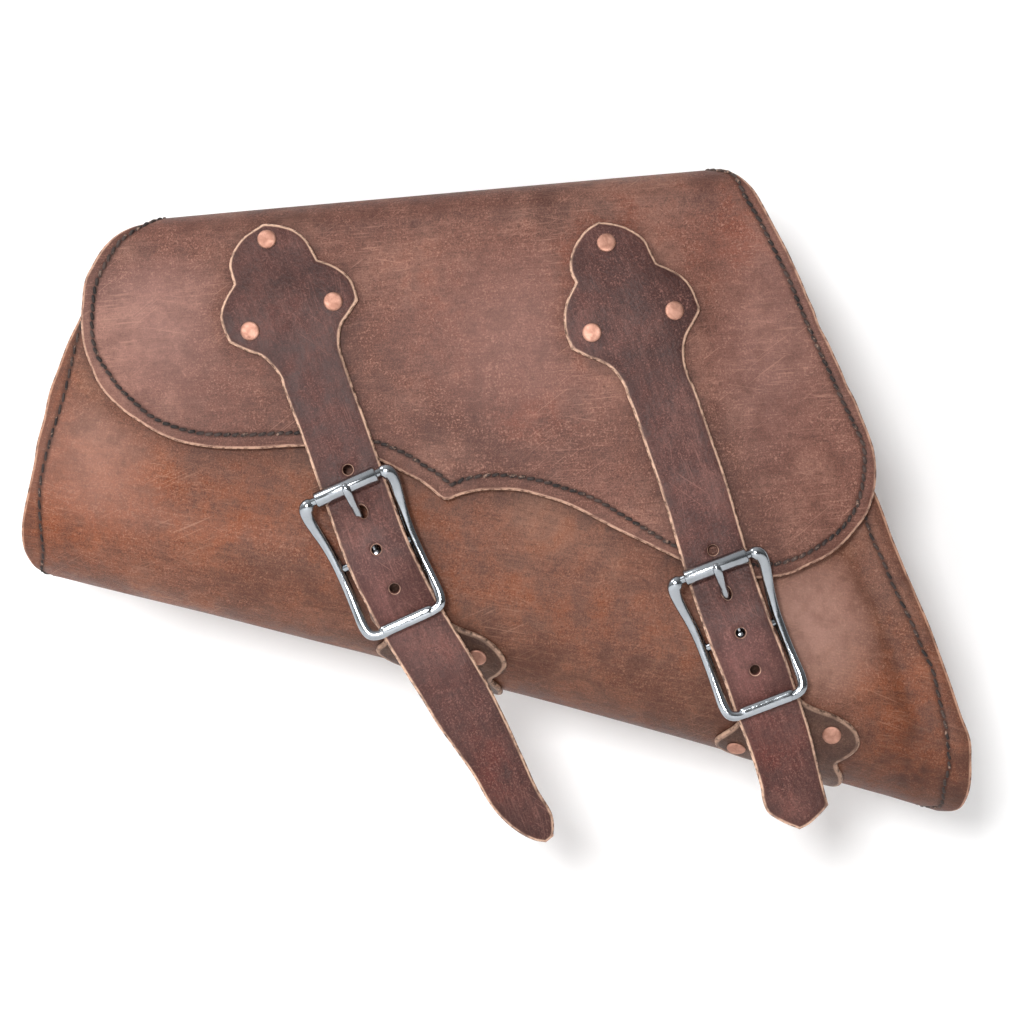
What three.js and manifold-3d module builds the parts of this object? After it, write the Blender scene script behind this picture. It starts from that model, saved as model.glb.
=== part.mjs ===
// Leather motorcycle saddlebag with a scalloped lid, two billet straps and two centre-bar roller buckles.
// Millimetres, +Z up. The outer face of the back panel is the plane y = 0 and the front faces -Y.
import * as THREE from "three";
import { mergeVertices } from "three/addons/utils/BufferGeometryUtils.js";
import Module from "manifold-3d";

// ---- driving dimensions -------------------------------------------------
const SEAM_Y = -90; // depth of the bag at its side seams
const CROWN = 8; // how far the front swells past the seams
const LEATHER = 3; // body leather
const LID_THICK = 2.8;
const LINING = 1.0;
const LID_OFF = 6.2; // outer face of the lid in front of the front panel
const BACK_THICK = 3.5;
const GAP = 0.3; // clearance between touching pieces
const BOTTOM_R = 38; // roll of the front panel under the bottom
const SEAM_MARGIN_L = 7; // left seam flange
const SEAM_MARGIN_R = 18; // right seam flange
const GUSSET_THICK = 2.5;
const LID_FOLD_R = 14;
const STRAP_HALF = 14.9;
const STRAP_THICK = 3;
const TAB_THICK = 2.7;
const BAR_Y = -105; // depth of the buckles' centre bars
const HOLE_R = 2.4;
const RIVET_HEAD_R = 4.4;
const RIVET_SHANK_R = 2;
const BUCKLES = {
  left: { o: [-47.2, -38.6], ang: 24.3, hingeU: -86, tailU: 157 },
  right: { o: [119.3, -75.6], ang: 20.8, hingeU: -119.5, tailU: 92 },
};

// ---- outlines in the XZ plane, seen from the front ----------------------
const BODY_LEFT = [[-149,108.6],[-158.2,105.8],[-167,100.7],[-173.4,93.8],[-178.5,86],[-182.2,78.2],[-185.4,70.8],[-188.6,64.4],[-191.4,58.4],[-193.7,52.4],[-196,46],[-198.7,39.1],[-200.6,32.2],[-201.9,25.3],[-203.8,18.4],[-205.6,11.5],[-206.5,4.6],[-207.9,-2.3],[-208.8,-9.2]];
const BODY_RIGHT = [[108.6,132.5],[120.5,117.3],[130.2,101.7],[138,86.9],[144.9,73.6],[152.7,57.5],[160.1,41.4],[167.9,25.3],[174.8,9.2],[180.3,-4.6],[185.4,-16.1],[190.4,-29.9],[196,-43.7],[201.9,-57.5],[207.9,-71.3],[213,-85.1],[218,-98.9],[222.6,-112.7],[226.3,-126.5]];
const LID_OUTLINE = [[-152.7,116.8],[-155,115],[-164.2,111.3],[-168.8,108.1],[-174.8,101.2],[-178.9,94.3],[-182.2,87.4],[-183.5,77.3],[-184,67.6],[-182.6,56.6],[-179.4,47.8],[-174.8,38.2],[-165.6,28.5],[-156.4,22.1],[-147.2,16.6],[-138,12.9],[-126.5,10.6],[-115.5,9.7],[-101.2,9.7],[-86.9,10.6],[-69,10.6],[-54.3,7.4],[-42.8,2.8],[-36.8,-0.5],[-27.6,-5.1],[-21.6,-9.7],[-17.9,-12.9],[-15.6,-13.8],[-13.3,-13.3],[-8.7,-11.5],[-0.9,-9.7],[8.3,-9.2],[18.4,-9.7],[27.6,-12],[40.5,-16.1],[55.2,-23.5],[63.9,-28.1],[72.7,-32.2],[82.3,-36.8],[92,-41.4],[106.7,-46.9],[120.5,-49.7],[134.3,-49.2],[142.1,-47.8],[150,-44.2],[159.6,-39.6],[167,-34],[174.3,-25.8],[178.9,-18.9],[181.7,-10.1],[182.6,-1.4],[181.7,8.7],[179.4,16.1],[175.7,25.3],[173,32.2],[169.3,39.1],[166.5,46],[163.3,52.9],[160.1,59.8],[156.4,66.7],[154.1,73.6],[150.9,80.5],[148.1,87.4],[144.9,94.3],[141.7,101.2],[138,108.1],[134.3,115],[130.6,121.9],[126.5,128.8],[120.5,135.7],[115,139.4],[111.3,140.3]];
const TAB = {
  left: [[-90.2,38.6],[-90.6,40.9],[-93.8,46],[-99.4,51.5],[-106.7,54.3],[-114.5,58],[-117.3,64.4],[-118.7,71.3],[-116.4,78.7],[-112.7,85.1],[-115,93.8],[-113.2,100.7],[-108.6,107.2],[-102.6,111.3],[-98.9,113.2],[-87.4,111.3],[-80.5,106.7],[-75.4,98.4],[-74.5,96.6],[-66.2,93.4],[-59.8,88.3],[-57,82.8],[-55.7,77.7],[-59.8,71.3],[-63.5,65.3],[-63.9,56.1],[-61.2,47.4]],
  right: [[67.6,33.1],[66.2,37.7],[61.2,45.1],[56.1,48.8],[49.2,51.5],[41.9,55.2],[39.1,62.6],[38.4,71.3],[40,78.2],[43.7,85.6],[41.4,90.6],[41.4,97.1],[44.2,104.4],[48.8,110.4],[54.3,114.1],[63.9,112.7],[70.8,109.5],[75.9,105.3],[78.7,99.4],[81,94.8],[88.3,91.5],[94.3,87.4],[98,81.9],[101.2,73.6],[98,67.2],[94.3,60.3],[93.6,51.5],[95.7,42.8]],
};
const STRAP_LINE = {
  left: [[-77.3,47.8],[-75.9,42.3],[-72.7,34.5],[-66.2,17],[-60.3,0],[-53.8,-18.4],[-46.5,-37.7],[-39.1,-53.8],[-31.3,-69],[-19.8,-89.2],[-10.6,-104.4],[-4.1,-115.5],[4.1,-129.7],[12,-144],[17.9,-154.6],[23.5,-163.8],[30.4,-171.6]],
  right: [[80.5,43.2],[82.3,37.7],[84.2,32.2],[91.1,12],[98.4,-9.2],[105.8,-34.5],[112.2,-55.2],[119.1,-75.4],[125.6,-91.5],[131.1,-106.7],[137.5,-125.1],[142.6,-141.7],[145.4,-154.1],[146.7,-164.7]],
};
const STRAP_TIP = {
  left: [[-35.4,-91.1],[-26.2,-105.8],[-18.9,-117.8],[-11,-128.8],[-2.8,-140.8],[3.7,-152.3],[10.1,-160.5],[17.9,-167],[25.3,-170.7],[30.4,-171.6],[33.8,-168.8],[34,-162.8],[32.7,-157.3],[26.7,-147.2],[19.8,-132],[12.9,-116.8],[6,-102.6],[-2.8,-86.9]],
  right: [[122.8,-126.5],[128.6,-144.9],[129.7,-151.8],[132,-157.1],[138.7,-161.5],[146.7,-164.9],[151.3,-162.4],[157.6,-156.4],[159.8,-153.6],[155.9,-138.9],[150.9,-118.7]],
};
const LID_RIVETS = {
  left: [[-97.8,105.4],[-67,76.5],[-105,63.3]],
  right: [[58,103.3],[88.6,72.6],[51.2,62.6]],
};
const STRAP_HOLES = { left: [-40.6, -20.6, -2.0, 17.8], right: [-40.7, -20.6, -1.5, 17.1] };

// ---- small vector helpers ------------------------------------------------
const add = (a, b, k = 1) => a.map((v, i) => v + b[i] * k);
const sub = (a, b) => a.map((v, i) => v - b[i]);
const dot = (a, b) => a.reduce((t, v, i) => t + v * b[i], 0);
const cross = (a, b) => [a[1] * b[2] - a[2] * b[1], a[2] * b[0] - a[0] * b[2], a[0] * b[1] - a[1] * b[0]];
const len = (a) => Math.hypot(...a);
const unit = (a) => a.map((v) => v / (len(a) || 1));
const lerp = (a, b, t) => a.map((v, i) => v + (b[i] - v) * t);
const clamp01 = (x) => Math.min(1, Math.max(0, x));
const smooth = (x) => ((x = clamp01(x)), x * x * (3 - 2 * x));
const rad = (d) => (d * Math.PI) / 180;
const table = (rows) => (x) => {
  if (x <= rows[0][0]) return rows[0][1];
  for (let i = 1; i < rows.length; i++)
    if (x <= rows[i][0]) {
      const [a, b] = [rows[i - 1], rows[i]];
      return a[1] + ((b[1] - a[1]) * (x - a[0])) / (b[0] - a[0]);
    }
  return rows[rows.length - 1][1];
};
// a point at the fraction f of a polyline's length
const along = (poly, f) => {
  const d = [0];
  for (let i = 1; i < poly.length; i++) d.push(d[i - 1] + len(sub(poly[i], poly[i - 1])));
  const t = clamp01(f) * d[d.length - 1];
  for (let i = 1; i < poly.length; i++)
    if (t <= d[i] + 1e-9) return lerp(poly[i - 1], poly[i], (t - d[i - 1]) / (d[i] - d[i - 1]));
  return poly[poly.length - 1];
};

// ---- the bag's own axes: s along the bottom edge, t square to it ---------
const SX = 0.9665, SZ = -0.2566;
const toST = ([x, z]) => [x * SX + z * SZ, -x * SZ + z * SX];
const toXZ = ([s, t]) => [s * SX - t * SZ, s * SZ + t * SX];
const bottomT = (s) => -100.5 + 3.4 * Math.max(0, 1 - ((s - 28) / 228) ** 2);
const sLeft = table([[0, -187], [1, -190], [3, -193], [9, -196.5], [15, -198.5], [22, -199.5], [38, -200]]);
const sRight = table([[0, 251], [2, 256], [4.6, 258.5], [7, 259], [14, 258.5], [21, 257], [27, 255], [38, 251.4]]);
const leftX = table([...BODY_LEFT].reverse().map(([x, z]) => [z, x]).sort((a, b) => a[0] - b[0]));
const rightX = table([...BODY_RIGHT].map(([x, z]) => [z, x]).sort((a, b) => a[0] - b[0]));
const topZ = (x) => 130.4 + 0.0888 * x;
// depth of the front panel's outer face
const frontY = (x, z) => {
  const l = smooth((x - leftX(z)) / 60), r = smooth(((rightX(z) - x) * 0.9) / 60), t = smooth((topZ(x) - z) / 60);
  return SEAM_Y - CROWN * l * r * t;
};
const lidY = (x, z) => frontY(x, z) - LID_OFF;

// ---- solids ---------------------------------------------------------------
const wasm = await Module();
wasm.setup();
function solid(positions, tris) {
  const g = new THREE.BufferGeometry();
  g.setAttribute("position", new THREE.Float32BufferAttribute(positions.flat(), 3));
  g.setIndex(tris.flat());
  return fromGeometry(g);
}
function fromGeometry(g0) {
  const g = g0.clone();
  g.deleteAttribute("normal");
  g.deleteAttribute("uv");
  const m = mergeVertices(g, 1e-4);
  const v = m.attributes.position.array, t = new Uint32Array(m.index.array);
  const keep = [];
  let vol = 0;
  for (let i = 0; i < t.length; i += 3) {
    const [a, b, c] = [t[i], t[i + 1], t[i + 2]];
    if (a === b || b === c || a === c) continue;
    keep.push(a, b, c);
    const p = (k) => [v[3 * k], v[3 * k + 1], v[3 * k + 2]];
    vol += dot(p(a), cross(p(b), p(c)));
  }
  if (vol < 0) for (let i = 0; i < keep.length; i += 3) [keep[i + 1], keep[i + 2]] = [keep[i + 2], keep[i + 1]];
  return new wasm.Manifold(new wasm.Mesh({ numProp: 3, vertProperties: new Float32Array(v), triVerts: new Uint32Array(keep) }));
}
// a closed slab between two matching grids of points
function slab(a, b) {
  const R = a.length, C = a[0].length, pos = [...a.flat(), ...b.flat()], tris = [];
  const A = (i, j) => i * C + j, B = (i, j) => R * C + i * C + j;
  const quad = (p, q, r, s) => tris.push([p, q, r], [p, r, s]);
  for (let i = 0; i < R - 1; i++)
    for (let j = 0; j < C - 1; j++) {
      quad(A(i, j), A(i, j + 1), A(i + 1, j + 1), A(i + 1, j));
      quad(B(i, j), B(i + 1, j), B(i + 1, j + 1), B(i, j + 1));
    }
  for (let j = 0; j < C - 1; j++) {
    quad(A(0, j), B(0, j), B(0, j + 1), A(0, j + 1));
    quad(A(R - 1, j), A(R - 1, j + 1), B(R - 1, j + 1), B(R - 1, j));
  }
  for (let i = 0; i < R - 1; i++) {
    quad(A(i, 0), A(i + 1, 0), B(i + 1, 0), B(i, 0));
    quad(A(i, C - 1), B(i, C - 1), B(i + 1, C - 1), A(i + 1, C - 1));
  }
  return solid(pos, tris);
}
// unit normals of a grid of points, turned to agree with `towards` at each point
function normals(P, towards) {
  const R = P.length, C = P[0].length;
  return P.map((row, i) =>
    row.map((p, j) => {
      const du = sub(P[i][Math.min(C - 1, j + 1)], P[i][Math.max(0, j - 1)]);
      const dv = sub(P[Math.min(R - 1, i + 1)][j], P[Math.max(0, i - 1)][j]);
      let n = unit(cross(du, dv));
      if (dot(n, towards(p, i, j)) < 0) n = n.map((v) => -v);
      return n;
    }),
  );
}
const sheet = (P, N, t0, t1) =>
  slab(P.map((r, i) => r.map((p, j) => add(p, N[i][j], t1))), P.map((r, i) => r.map((p, j) => add(p, N[i][j], t0))));
// a prism of an XZ outline between two depths
function prism(outline, y0, y1, holes = []) {
  const shape = new THREE.Shape(outline.map(([x, z]) => new THREE.Vector2(x, z)));
  for (const h of holes) shape.holes.push(new THREE.Path(h.map(([x, z]) => new THREE.Vector2(x, z))));
  const g = new THREE.ExtrudeGeometry(shape, { depth: Math.abs(y1 - y0), bevelEnabled: false, steps: 1 });
  g.rotateX(Math.PI / 2);
  g.translate(0, Math.max(y0, y1), 0);
  return fromGeometry(g);
}
// a swept bar: stations {p, a, b}, a = half size square to `ref` and the path, b = half size along `ref`
function bar(stations, ref, n = 10, power = 1) {
  const P = stations.map((s) => s.p), pos = [], tris = [];
  stations.forEach((s, i) => {
    const T = unit(sub(P[Math.min(P.length - 1, i + 1)], P[Math.max(0, i - 1)]));
    const B = unit(sub(ref, T.map((v) => v * dot(ref, T)))), A = cross(T, B);
    for (let k = 0; k < n; k++) {
      const c = Math.cos((2 * Math.PI * (k + 0.5)) / n), d = Math.sin((2 * Math.PI * (k + 0.5)) / n);
      const sc = Math.sign(c) * Math.abs(c) ** power, sd = Math.sign(d) * Math.abs(d) ** power;
      pos.push(add(add(s.p, A, s.a * sc), B, s.b * sd));
    }
  });
  const R = stations.length;
  for (let i = 0; i < R - 1; i++)
    for (let k = 0; k < n; k++) {
      const q = (k + 1) % n;
      tris.push([i * n + k, i * n + q, (i + 1) * n + q], [i * n + k, (i + 1) * n + q, (i + 1) * n + k]);
    }
  for (let k = 1; k < n - 1; k++) tris.push([0, k + 1, k], [(R - 1) * n, (R - 1) * n + k, (R - 1) * n + k + 1]);
  return solid(pos, tris);
}
const rod = (p0, p1, r, n = 16) => {
  const T = unit(sub(p1, p0)), ref = Math.abs(T[1]) < 0.9 ? [0, 1, 0] : [0, 0, 1];
  return bar([{ p: p0, a: r, b: r }, { p: p1, a: r, b: r }], ref, n);
};

const saddlebag = new THREE.Group();
const LEATHER_MAT = (c) => new THREE.MeshStandardMaterial({ color: new THREE.Color().setRGB(...c, THREE.SRGBColorSpace), roughness: 0.62, metalness: 0 });
const BODY_COL = [0.55, 0.39, 0.32], LID_COL = [0.6, 0.45, 0.39], STRAP_COL = [0.43, 0.31, 0.29], CHAPE_COL = [0.38, 0.3, 0.22];
const STEEL = () => new THREE.MeshStandardMaterial({ color: 0xb9bec4, roughness: 0.25, metalness: 1 });
const COPPER = () => new THREE.MeshStandardMaterial({ color: 0xb98464, roughness: 0.35, metalness: 1 });
function node(name, m, material) {
  const mesh = m.getMesh(), n = mesh.numProp, v = new Float32Array(mesh.numVert * 3);
  for (let i = 0; i < mesh.numVert; i++) v.set(mesh.vertProperties.subarray(i * n, i * n + 3), 3 * i);
  const g = new THREE.BufferGeometry();
  g.setAttribute("position", new THREE.BufferAttribute(v, 3));
  g.setIndex(new THREE.BufferAttribute(new Uint32Array(mesh.triVerts), 1));
  const out = new THREE.Mesh(g, material);
  out.name = name;
  saddlebag.add(out);
}

// ---- front panel, rolled under the bottom ---------------------------------
const FRONT_ROWS = 8, COLS = 13, ROLL_ROWS = 6, U = (j) => j / COLS;
const lowLine = (u, h) => {
  const s = sLeft(h) + (sRight(h) - sLeft(h)) * u;
  return toXZ([s, bottomT(s) + h]);
};
const C0 = lowLine(0, BOTTOM_R), C1 = lowLine(1, BOTTOM_R);
const leftPoly = [...BODY_LEFT.slice(0, -1), C0], rightPoly = [...BODY_RIGHT.slice(0, -1), C1];
function coons(u, v) {
  const T = lerp(leftPoly[0], rightPoly[0], u), C = lowLine(u, BOTTOM_R), L = along(leftPoly, v), R = along(rightPoly, v);
  return [0, 1].map(
    (k) =>
      (1 - v) * T[k] + v * C[k] + (1 - u) * L[k] + u * R[k] -
      ((1 - u) * (1 - v) * leftPoly[0][k] + u * (1 - v) * rightPoly[0][k] + (1 - u) * v * C0[k] + u * v * C1[k]),
  );
}
// outer surface of the wrap: v 0..1 down the front, then 1..2 round the roll, then 2..3 back to the back panel
const WRAP_END = -BACK_THICK - GAP;
function wrap(u, v) {
  if (v <= 1) {
    const [x, z] = coons(u, v);
    return [x, frontY(x, z), z];
  }
  const [cx, cz] = lowLine(u, BOTTOM_R), y0 = frontY(cx, cz);
  if (v <= 2) {
    const a = ((v - 1) * Math.PI) / 2, [x, z] = lowLine(u, BOTTOM_R * (1 - Math.sin(a)));
    return [x, y0 + BOTTOM_R * (1 - Math.cos(a)), z];
  }
  const [x, z] = lowLine(u, 0), y1 = y0 + BOTTOM_R;
  return [x, y1 + (v - 2) * (WRAP_END - y1), z];
}
const V_ROWS = [];
for (let i = 0; i <= FRONT_ROWS; i++) V_ROWS.push(0.045 + (0.955 * i) / FRONT_ROWS); // the top edge stops short of the lid
for (let i = 1; i <= ROLL_ROWS; i++) V_ROWS.push(1 + i / ROLL_ROWS);
V_ROWS.push(3);
// the direction out of the bag at a row
const outDir = (v) => {
  const a = (Math.min(Math.max(v - 1, 0), 1) * Math.PI) / 2;
  const [dx, dz] = toXZ([0, -Math.sin(a)]);
  return [dx, -Math.cos(a), dz];
};
const wrapGrid = V_ROWS.map((v) => Array.from({ length: COLS + 1 }, (_, j) => wrap(U(j), v)));
const wrapN = normals(wrapGrid, (p, i) => outDir(V_ROWS[i]));
let frontWrap = sheet(wrapGrid, wrapN, -LEATHER, 0);

// ---- chapes, rivets and burrs share this record of holes --------------------
const holes = { wrap: [], lid: [], left_tab: [], right_tab: [], left_chape: [], right_chape: [] };
// domed rivet from outside point p (the surface it clamps on) with outward axis n, gripping `grip` of leather
function rivet(name, p, n, grip, slack = 0.55) {
  const q = (d) => add(p, n, d), ref = Math.abs(n[2]) < 0.9 ? [0, 0, 1] : [1, 0, 0];
  const st = (d, r) => ({ p: q(d), a: r, b: r });
  const body = bar(
    [st(-grip - slack - 1.05, RIVET_SHANK_R), st(0.14, RIVET_SHANK_R), st(0.15, RIVET_HEAD_R), st(0.7, RIVET_HEAD_R * 0.97), st(1.02, RIVET_HEAD_R * 0.84), st(1.15, RIVET_HEAD_R * 0.4)],
    ref, 8,
  );
  node(name + "_rivet", body, COPPER());
  const burr = bar([st(-grip - slack - 0.85, 4.4), st(-grip - slack, 4.4)], ref, 8).subtract(bar([st(-grip - 3, RIVET_SHANK_R + 0.35), st(1, RIVET_SHANK_R + 0.35)], ref, 8));
  node(name + "_burr", burr, COPPER());
  return bar([st(-grip - 4, RIVET_SHANK_R + 0.35), st(3.5, RIVET_SHANK_R + 0.35)], ref, 8);
}

// ---- buckle frames of reference ---------------------------------------------
const frames = {};
for (const side of ["left", "right"]) {
  const { o, ang } = BUCKLES[side];
  const l = [Math.cos(rad(ang)), 0, Math.sin(rad(ang))], u = [Math.sin(rad(ang)), 0, -Math.cos(rad(ang))];
  const O = [o[0], BAR_Y, o[1]];
  frames[side] = {
    l, u, O, w: [0, -1, 0],
    at: (a, b, c) => add(add(add(O, l, a), u, b), [0, -1, 0], c),
    local: (p) => [dot(sub(p, O), l), dot(sub(p, O), u), BAR_Y - p[1]],
  };
}

// ---- chapes ------------------------------------------------------------------
const CH_T = 2.5, CH_HALF = 14;
// rows of the riveted tab: [s, distance round the roll from its start, slant in degrees, half width]
const CHAPE = {
  left: {
    rows: [
      [-18.1, 12.1, 39, 14], [-13, 16.5, 36, 14], [-9, 20, 32, 15], [-5.5, 23, 28, 19.5], [-2, 25.5, 25, 25], [2, 29, 22, 28.5], [5.7, 32.5, 20, 29],
      [8.5, 36, 20, 27.5], [11, 40, 21, 23], [13, 43.5, 22, 18], [14.5, 46.5, 23, 17], [17, 52, 25, 18.5], [20, 58, 27, 18], [22.5, 63, 28, 14.5], [24.5, 67, 28, 9], [26, 70, 28, 2],
    ],
    rivets: [[20.8, 24.5], [-9.4, 40.5], [18, 54]],
  },
  right: {
    rows: [
      [151, 5.1, 35.7, 14], [155, 9.5, 34, 14], [158.5, 13, 32, 15.5], [161, 16, 30, 20], [164, 19.5, 28, 27], [167, 23, 26, 32], [170, 27, 25, 33.5],
      [173, 31, 25, 31.5], [175.5, 34.5, 26, 26], [177.5, 37.5, 27, 19.5], [179.5, 41, 28, 18.5], [182, 46.5, 28, 19.5], [184.5, 52, 28, 18.5], [187, 57.5, 28, 14.5], [189, 62, 28, 8.5], [190.5, 65, 28, 2],
    ],
    rivets: [[188, 14.8], [148.2, 37.2], [183, 49]],
  },
};
const QUARTER = (BOTTOM_R * Math.PI) / 2;
// a point a distance `a` down from the start of the roll, `off` out from the wrap's outer face
function onWrap(s, a, off) {
  const th = Math.min(Math.max(a, 0), QUARTER) / BOTTOM_R;
  const h = a < 0 ? BOTTOM_R - a : BOTTOM_R * (1 - Math.sin(th));
  const [x, z] = toXZ([s, bottomT(s) + h]), [x0, z0] = toXZ([s, bottomT(s) + BOTTOM_R]);
  const y = a < 0 ? frontY(x, z) : frontY(x0, z0) + BOTTOM_R * (1 - Math.cos(th)) + Math.max(0, a - QUARTER);
  const n = outDir(1 + th / (Math.PI / 2));
  return { p: add([x, y, z], n, off), n };
}
function chape(side) {
  const F = frames[side], c = CHAPE[side];
  // mid-plane path in the buckle's (u, w) plane: inner layer, round the bar, outer layer
  const path = [[15, -5.0], [10, -4.5], [5, -3.85], [0, -3.65]];
  for (let k = 1; k < 6; k++) {
    const a = rad(-90 - k * 30);
    path.push([3.65 * Math.cos(a), 3.65 * Math.sin(a)]);
  }
  path.push([0, 3.65], [5, 3.5], [9, 2.6], [13, 0.8], [17, -1.7], [20, -3.7], [22.5, -4.9]);
  const K = 5, G = [], want = [];
  path.forEach(([u, w], i) => {
    G.push(Array.from({ length: K }, (_, j) => F.at(-CH_HALF + (2 * CH_HALF * j) / (K - 1), u, w)));
    const d = i < 4 ? [0, 1, 0] : i < 9 ? add(F.u.map((v) => v * u), [0, -1, 0], w) : [0, -1, 0];
    want.push(Array(K).fill(d));
  });
  for (const [s, a, slant, hw] of c.rows) {
    const pts = Array.from({ length: K }, (_, j) => {
      const e = -hw + (2 * hw * j) / (K - 1);
      return onWrap(s + e * Math.cos(rad(slant)), a - e * Math.sin(rad(slant)), GAP + CH_T / 2 + 0.5);
    });
    G.push(pts.map((q) => q.p));
    want.push(pts.map((q) => q.n));
  }
  const Nn = normals(G, (p, i, j) => want[i][j]).map((r, i) => r.map((n, j) => (i < path.length ? n : want[i][j])));
  let m = sheet(G, Nn, -CH_T / 2, CH_T / 2);
  // slot for the eye of the tongue
  m = m.subtract(bar([{ p: F.at(0, -9, 0), a: 4.0, b: 9 }, { p: F.at(0, 5.4, 0), a: 4.0, b: 9 }], F.w, 4));
  c.rivets.forEach(([s, a], k) => {
    const q = onWrap(s, a, GAP + CH_T + 0.8);
    const h = rivet(`${side}_chape_${["outer", "inner", "lower"][k]}`, q.p, q.n, CH_T + LEATHER + GAP + 0.8, 0.9);
    m = m.subtract(h);
    frontWrap = frontWrap.subtract(h);
  });
  node(side + "_chape", m, LEATHER_MAT(CHAPE_COL));
}
chape("left");
chape("right");
node("front_wrap", frontWrap, LEATHER_MAT(BODY_COL));

// ---- back panel -----------------------------------------------------------------
const lowEdge = Array.from({ length: 17 }, (_, j) => lowLine(j / 16, 0.6));
const sideLow = (u) => [20, 10, 4].map((h) => lowLine(u, h));
const backOutline = [
  ...leftPoly, ...sideLow(0), ...lowEdge, ...sideLow(1).reverse(), ...[...rightPoly].reverse(),
  [rightPoly[0][0] - 1, topZ(rightPoly[0][0]) - 3.4], [leftPoly[0][0] + 1, topZ(leftPoly[0][0]) - 3.4],
];
node("back_panel", prism(backOutline, 0, -BACK_THICK), LEATHER_MAT(BODY_COL));

// ---- gussets: side wall with an outward flange at the front and at the back ------
function gusset(side) {
  const m = side === "left" ? SEAM_MARGIN_L : SEAM_MARGIN_R, flip = side === "left" ? 0 : 1;
  const rows = V_ROWS.filter((v) => v >= 0.04 && v <= 2);
  const at = (v, d) => {
    // point on the wrap's outer surface a distance d in from the seam edge
    const a = wrap(flip, v), b = wrap(flip ? 0.9 : 0.1, v), L = len(sub(b, a));
    return wrap(flip ? 1 - (0.1 * d) / L : (0.1 * d) / L, v);
  };
  const P = rows.map((v) => [at(v, 0.6), at(v, m / 2), at(v, m + 1)]);
  const N = normals(P, (p, i) => outDir(rows[i]));
  const f0 = -LEATHER - GAP - 0.25, f1 = f0 - GUSSET_THICK;
  let g = sheet(P, N, f1, f0);
  const wallOut = flip ? [SX, 0, SZ] : [-SX, 0, -SZ];
  const front = rows.map((v, i) => add(at(v, m), N[i][2], f0 - 0.05));
  const W = front.map((p) => [p, [p[0], (p[1] + WRAP_END) / 2, p[2]], [p[0], WRAP_END, p[2]]]);
  const WN = normals(W, () => wallOut);
  g = g.add(sheet(W, WN, -GUSSET_THICK, 0));
  // rear flange, turned out along the back panel
  const RB = front.map((p, i) => {
    const e = at(rows[i], 1.2), a = [p[0], WRAP_END, p[2]];
    const out = unit([e[0] - p[0], 0, e[2] - p[2]]);
    const reach = Math.max(2.5, len([e[0] - p[0], e[2] - p[2]]));
    return [add(a, out, -1.5), add(a, out, Math.min(reach, m - 0.5))];
  }).slice(0, -2);
  const RN = RB.map((r) => r.map(() => [0, -1, 0]));
  g = g.add(sheet(RB, RN, 0, GUSSET_THICK));
  node(side + "_gusset", g, LEATHER_MAT(BODY_COL));
}
gusset("left");
gusset("right");

// ---- lid: top strip, fold and scalloped flap ---------------------------------------
const EX = 0.99606, EZ = 0.08846; // along the top edge
const topPoint = (p) => [-30 + p * EX, topZ(-30 + p * EX)];
function lidGrid(p0, p1, drop, back, np, nq) {
  const G = [];
  const rowAt = (f) => G.push(Array.from({ length: np + 1 }, (_, j) => f(p0 + ((p1 - p0) * j) / np)));
  const yFold = (p) => {
    const [x, z] = topPoint(p);
    return lidY(x + EZ * LID_FOLD_R, z - EX * LID_FOLD_R);
  };
  for (const y of [back, -40])
    rowAt((p) => { const [x, z] = topPoint(p); return [x, y, z]; });
  for (let k = 0; k <= 4; k++) {
    const a = (k * Math.PI) / 8;
    rowAt((p) => {
      const [x, z] = topPoint(p), d = LID_FOLD_R * (1 - Math.cos(a));
      return [x + EZ * d, yFold(p) + LID_FOLD_R * (1 - Math.sin(a)), z - EX * d];
    });
  }
  for (const d of nq) {
    rowAt((p) => {
      const [x, z] = topPoint(p), X = x + EZ * d, Z = z - EX * d;
      return [X, lidY(X, Z), Z];
    });
  }
  return G;
}
function insetOutline(poly, d) {
  // moves each point of a clockwise or anticlockwise outline inwards
  const area = poly.reduce((t, p, i) => { const q = poly[(i + 1) % poly.length]; return t + p[0] * q[1] - q[0] * p[1]; }, 0);
  return poly.map((p, i) => {
    const a = poly[(i + poly.length - 1) % poly.length], b = poly[(i + 1) % poly.length];
    const t = unit(sub(b, a)), n = area > 0 ? [-t[1], t[0]] : [t[1], -t[0]];
    return add(p, n, d);
  });
}
const openTop = (o) => {
  // carry the outline's two top corners up past the top strip
  const a = o[0], b = o[o.length - 1];
  return [[a[0], a[1] + 30], ...o, [b[0], b[1] + 30]];
};
const LID_ROWS = [19, 26, 34, 42, 50, 60, 80, 110, 150, 195, 245, 300];
const lidG = lidGrid(-168, 196, 292, -0.4, 18, LID_ROWS);
const lidOutward = (p, i) => (i < 2 ? [0, 0, 1] : i < 7 ? [0, -Math.sin(((i - 2) * Math.PI) / 8), Math.cos(((i - 2) * Math.PI) / 8)] : [0, -1, 0]);
const lidN = normals(lidG, lidOutward);
const lidCut = prism(openTop(LID_OUTLINE), 10, -140);
let lid = sheet(lidG, lidN, -LID_THICK, 0).intersect(lidCut);
const liningG = lidGrid(-168, 196, 292, -4.2, 18, LID_ROWS), liningN = normals(liningG, lidOutward);
let lining = sheet(liningG, liningN, -LID_THICK - GAP - LINING, -LID_THICK - GAP).intersect(prism(openTop(insetOutline(LID_OUTLINE, 2.2)), 10, -140));

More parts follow.
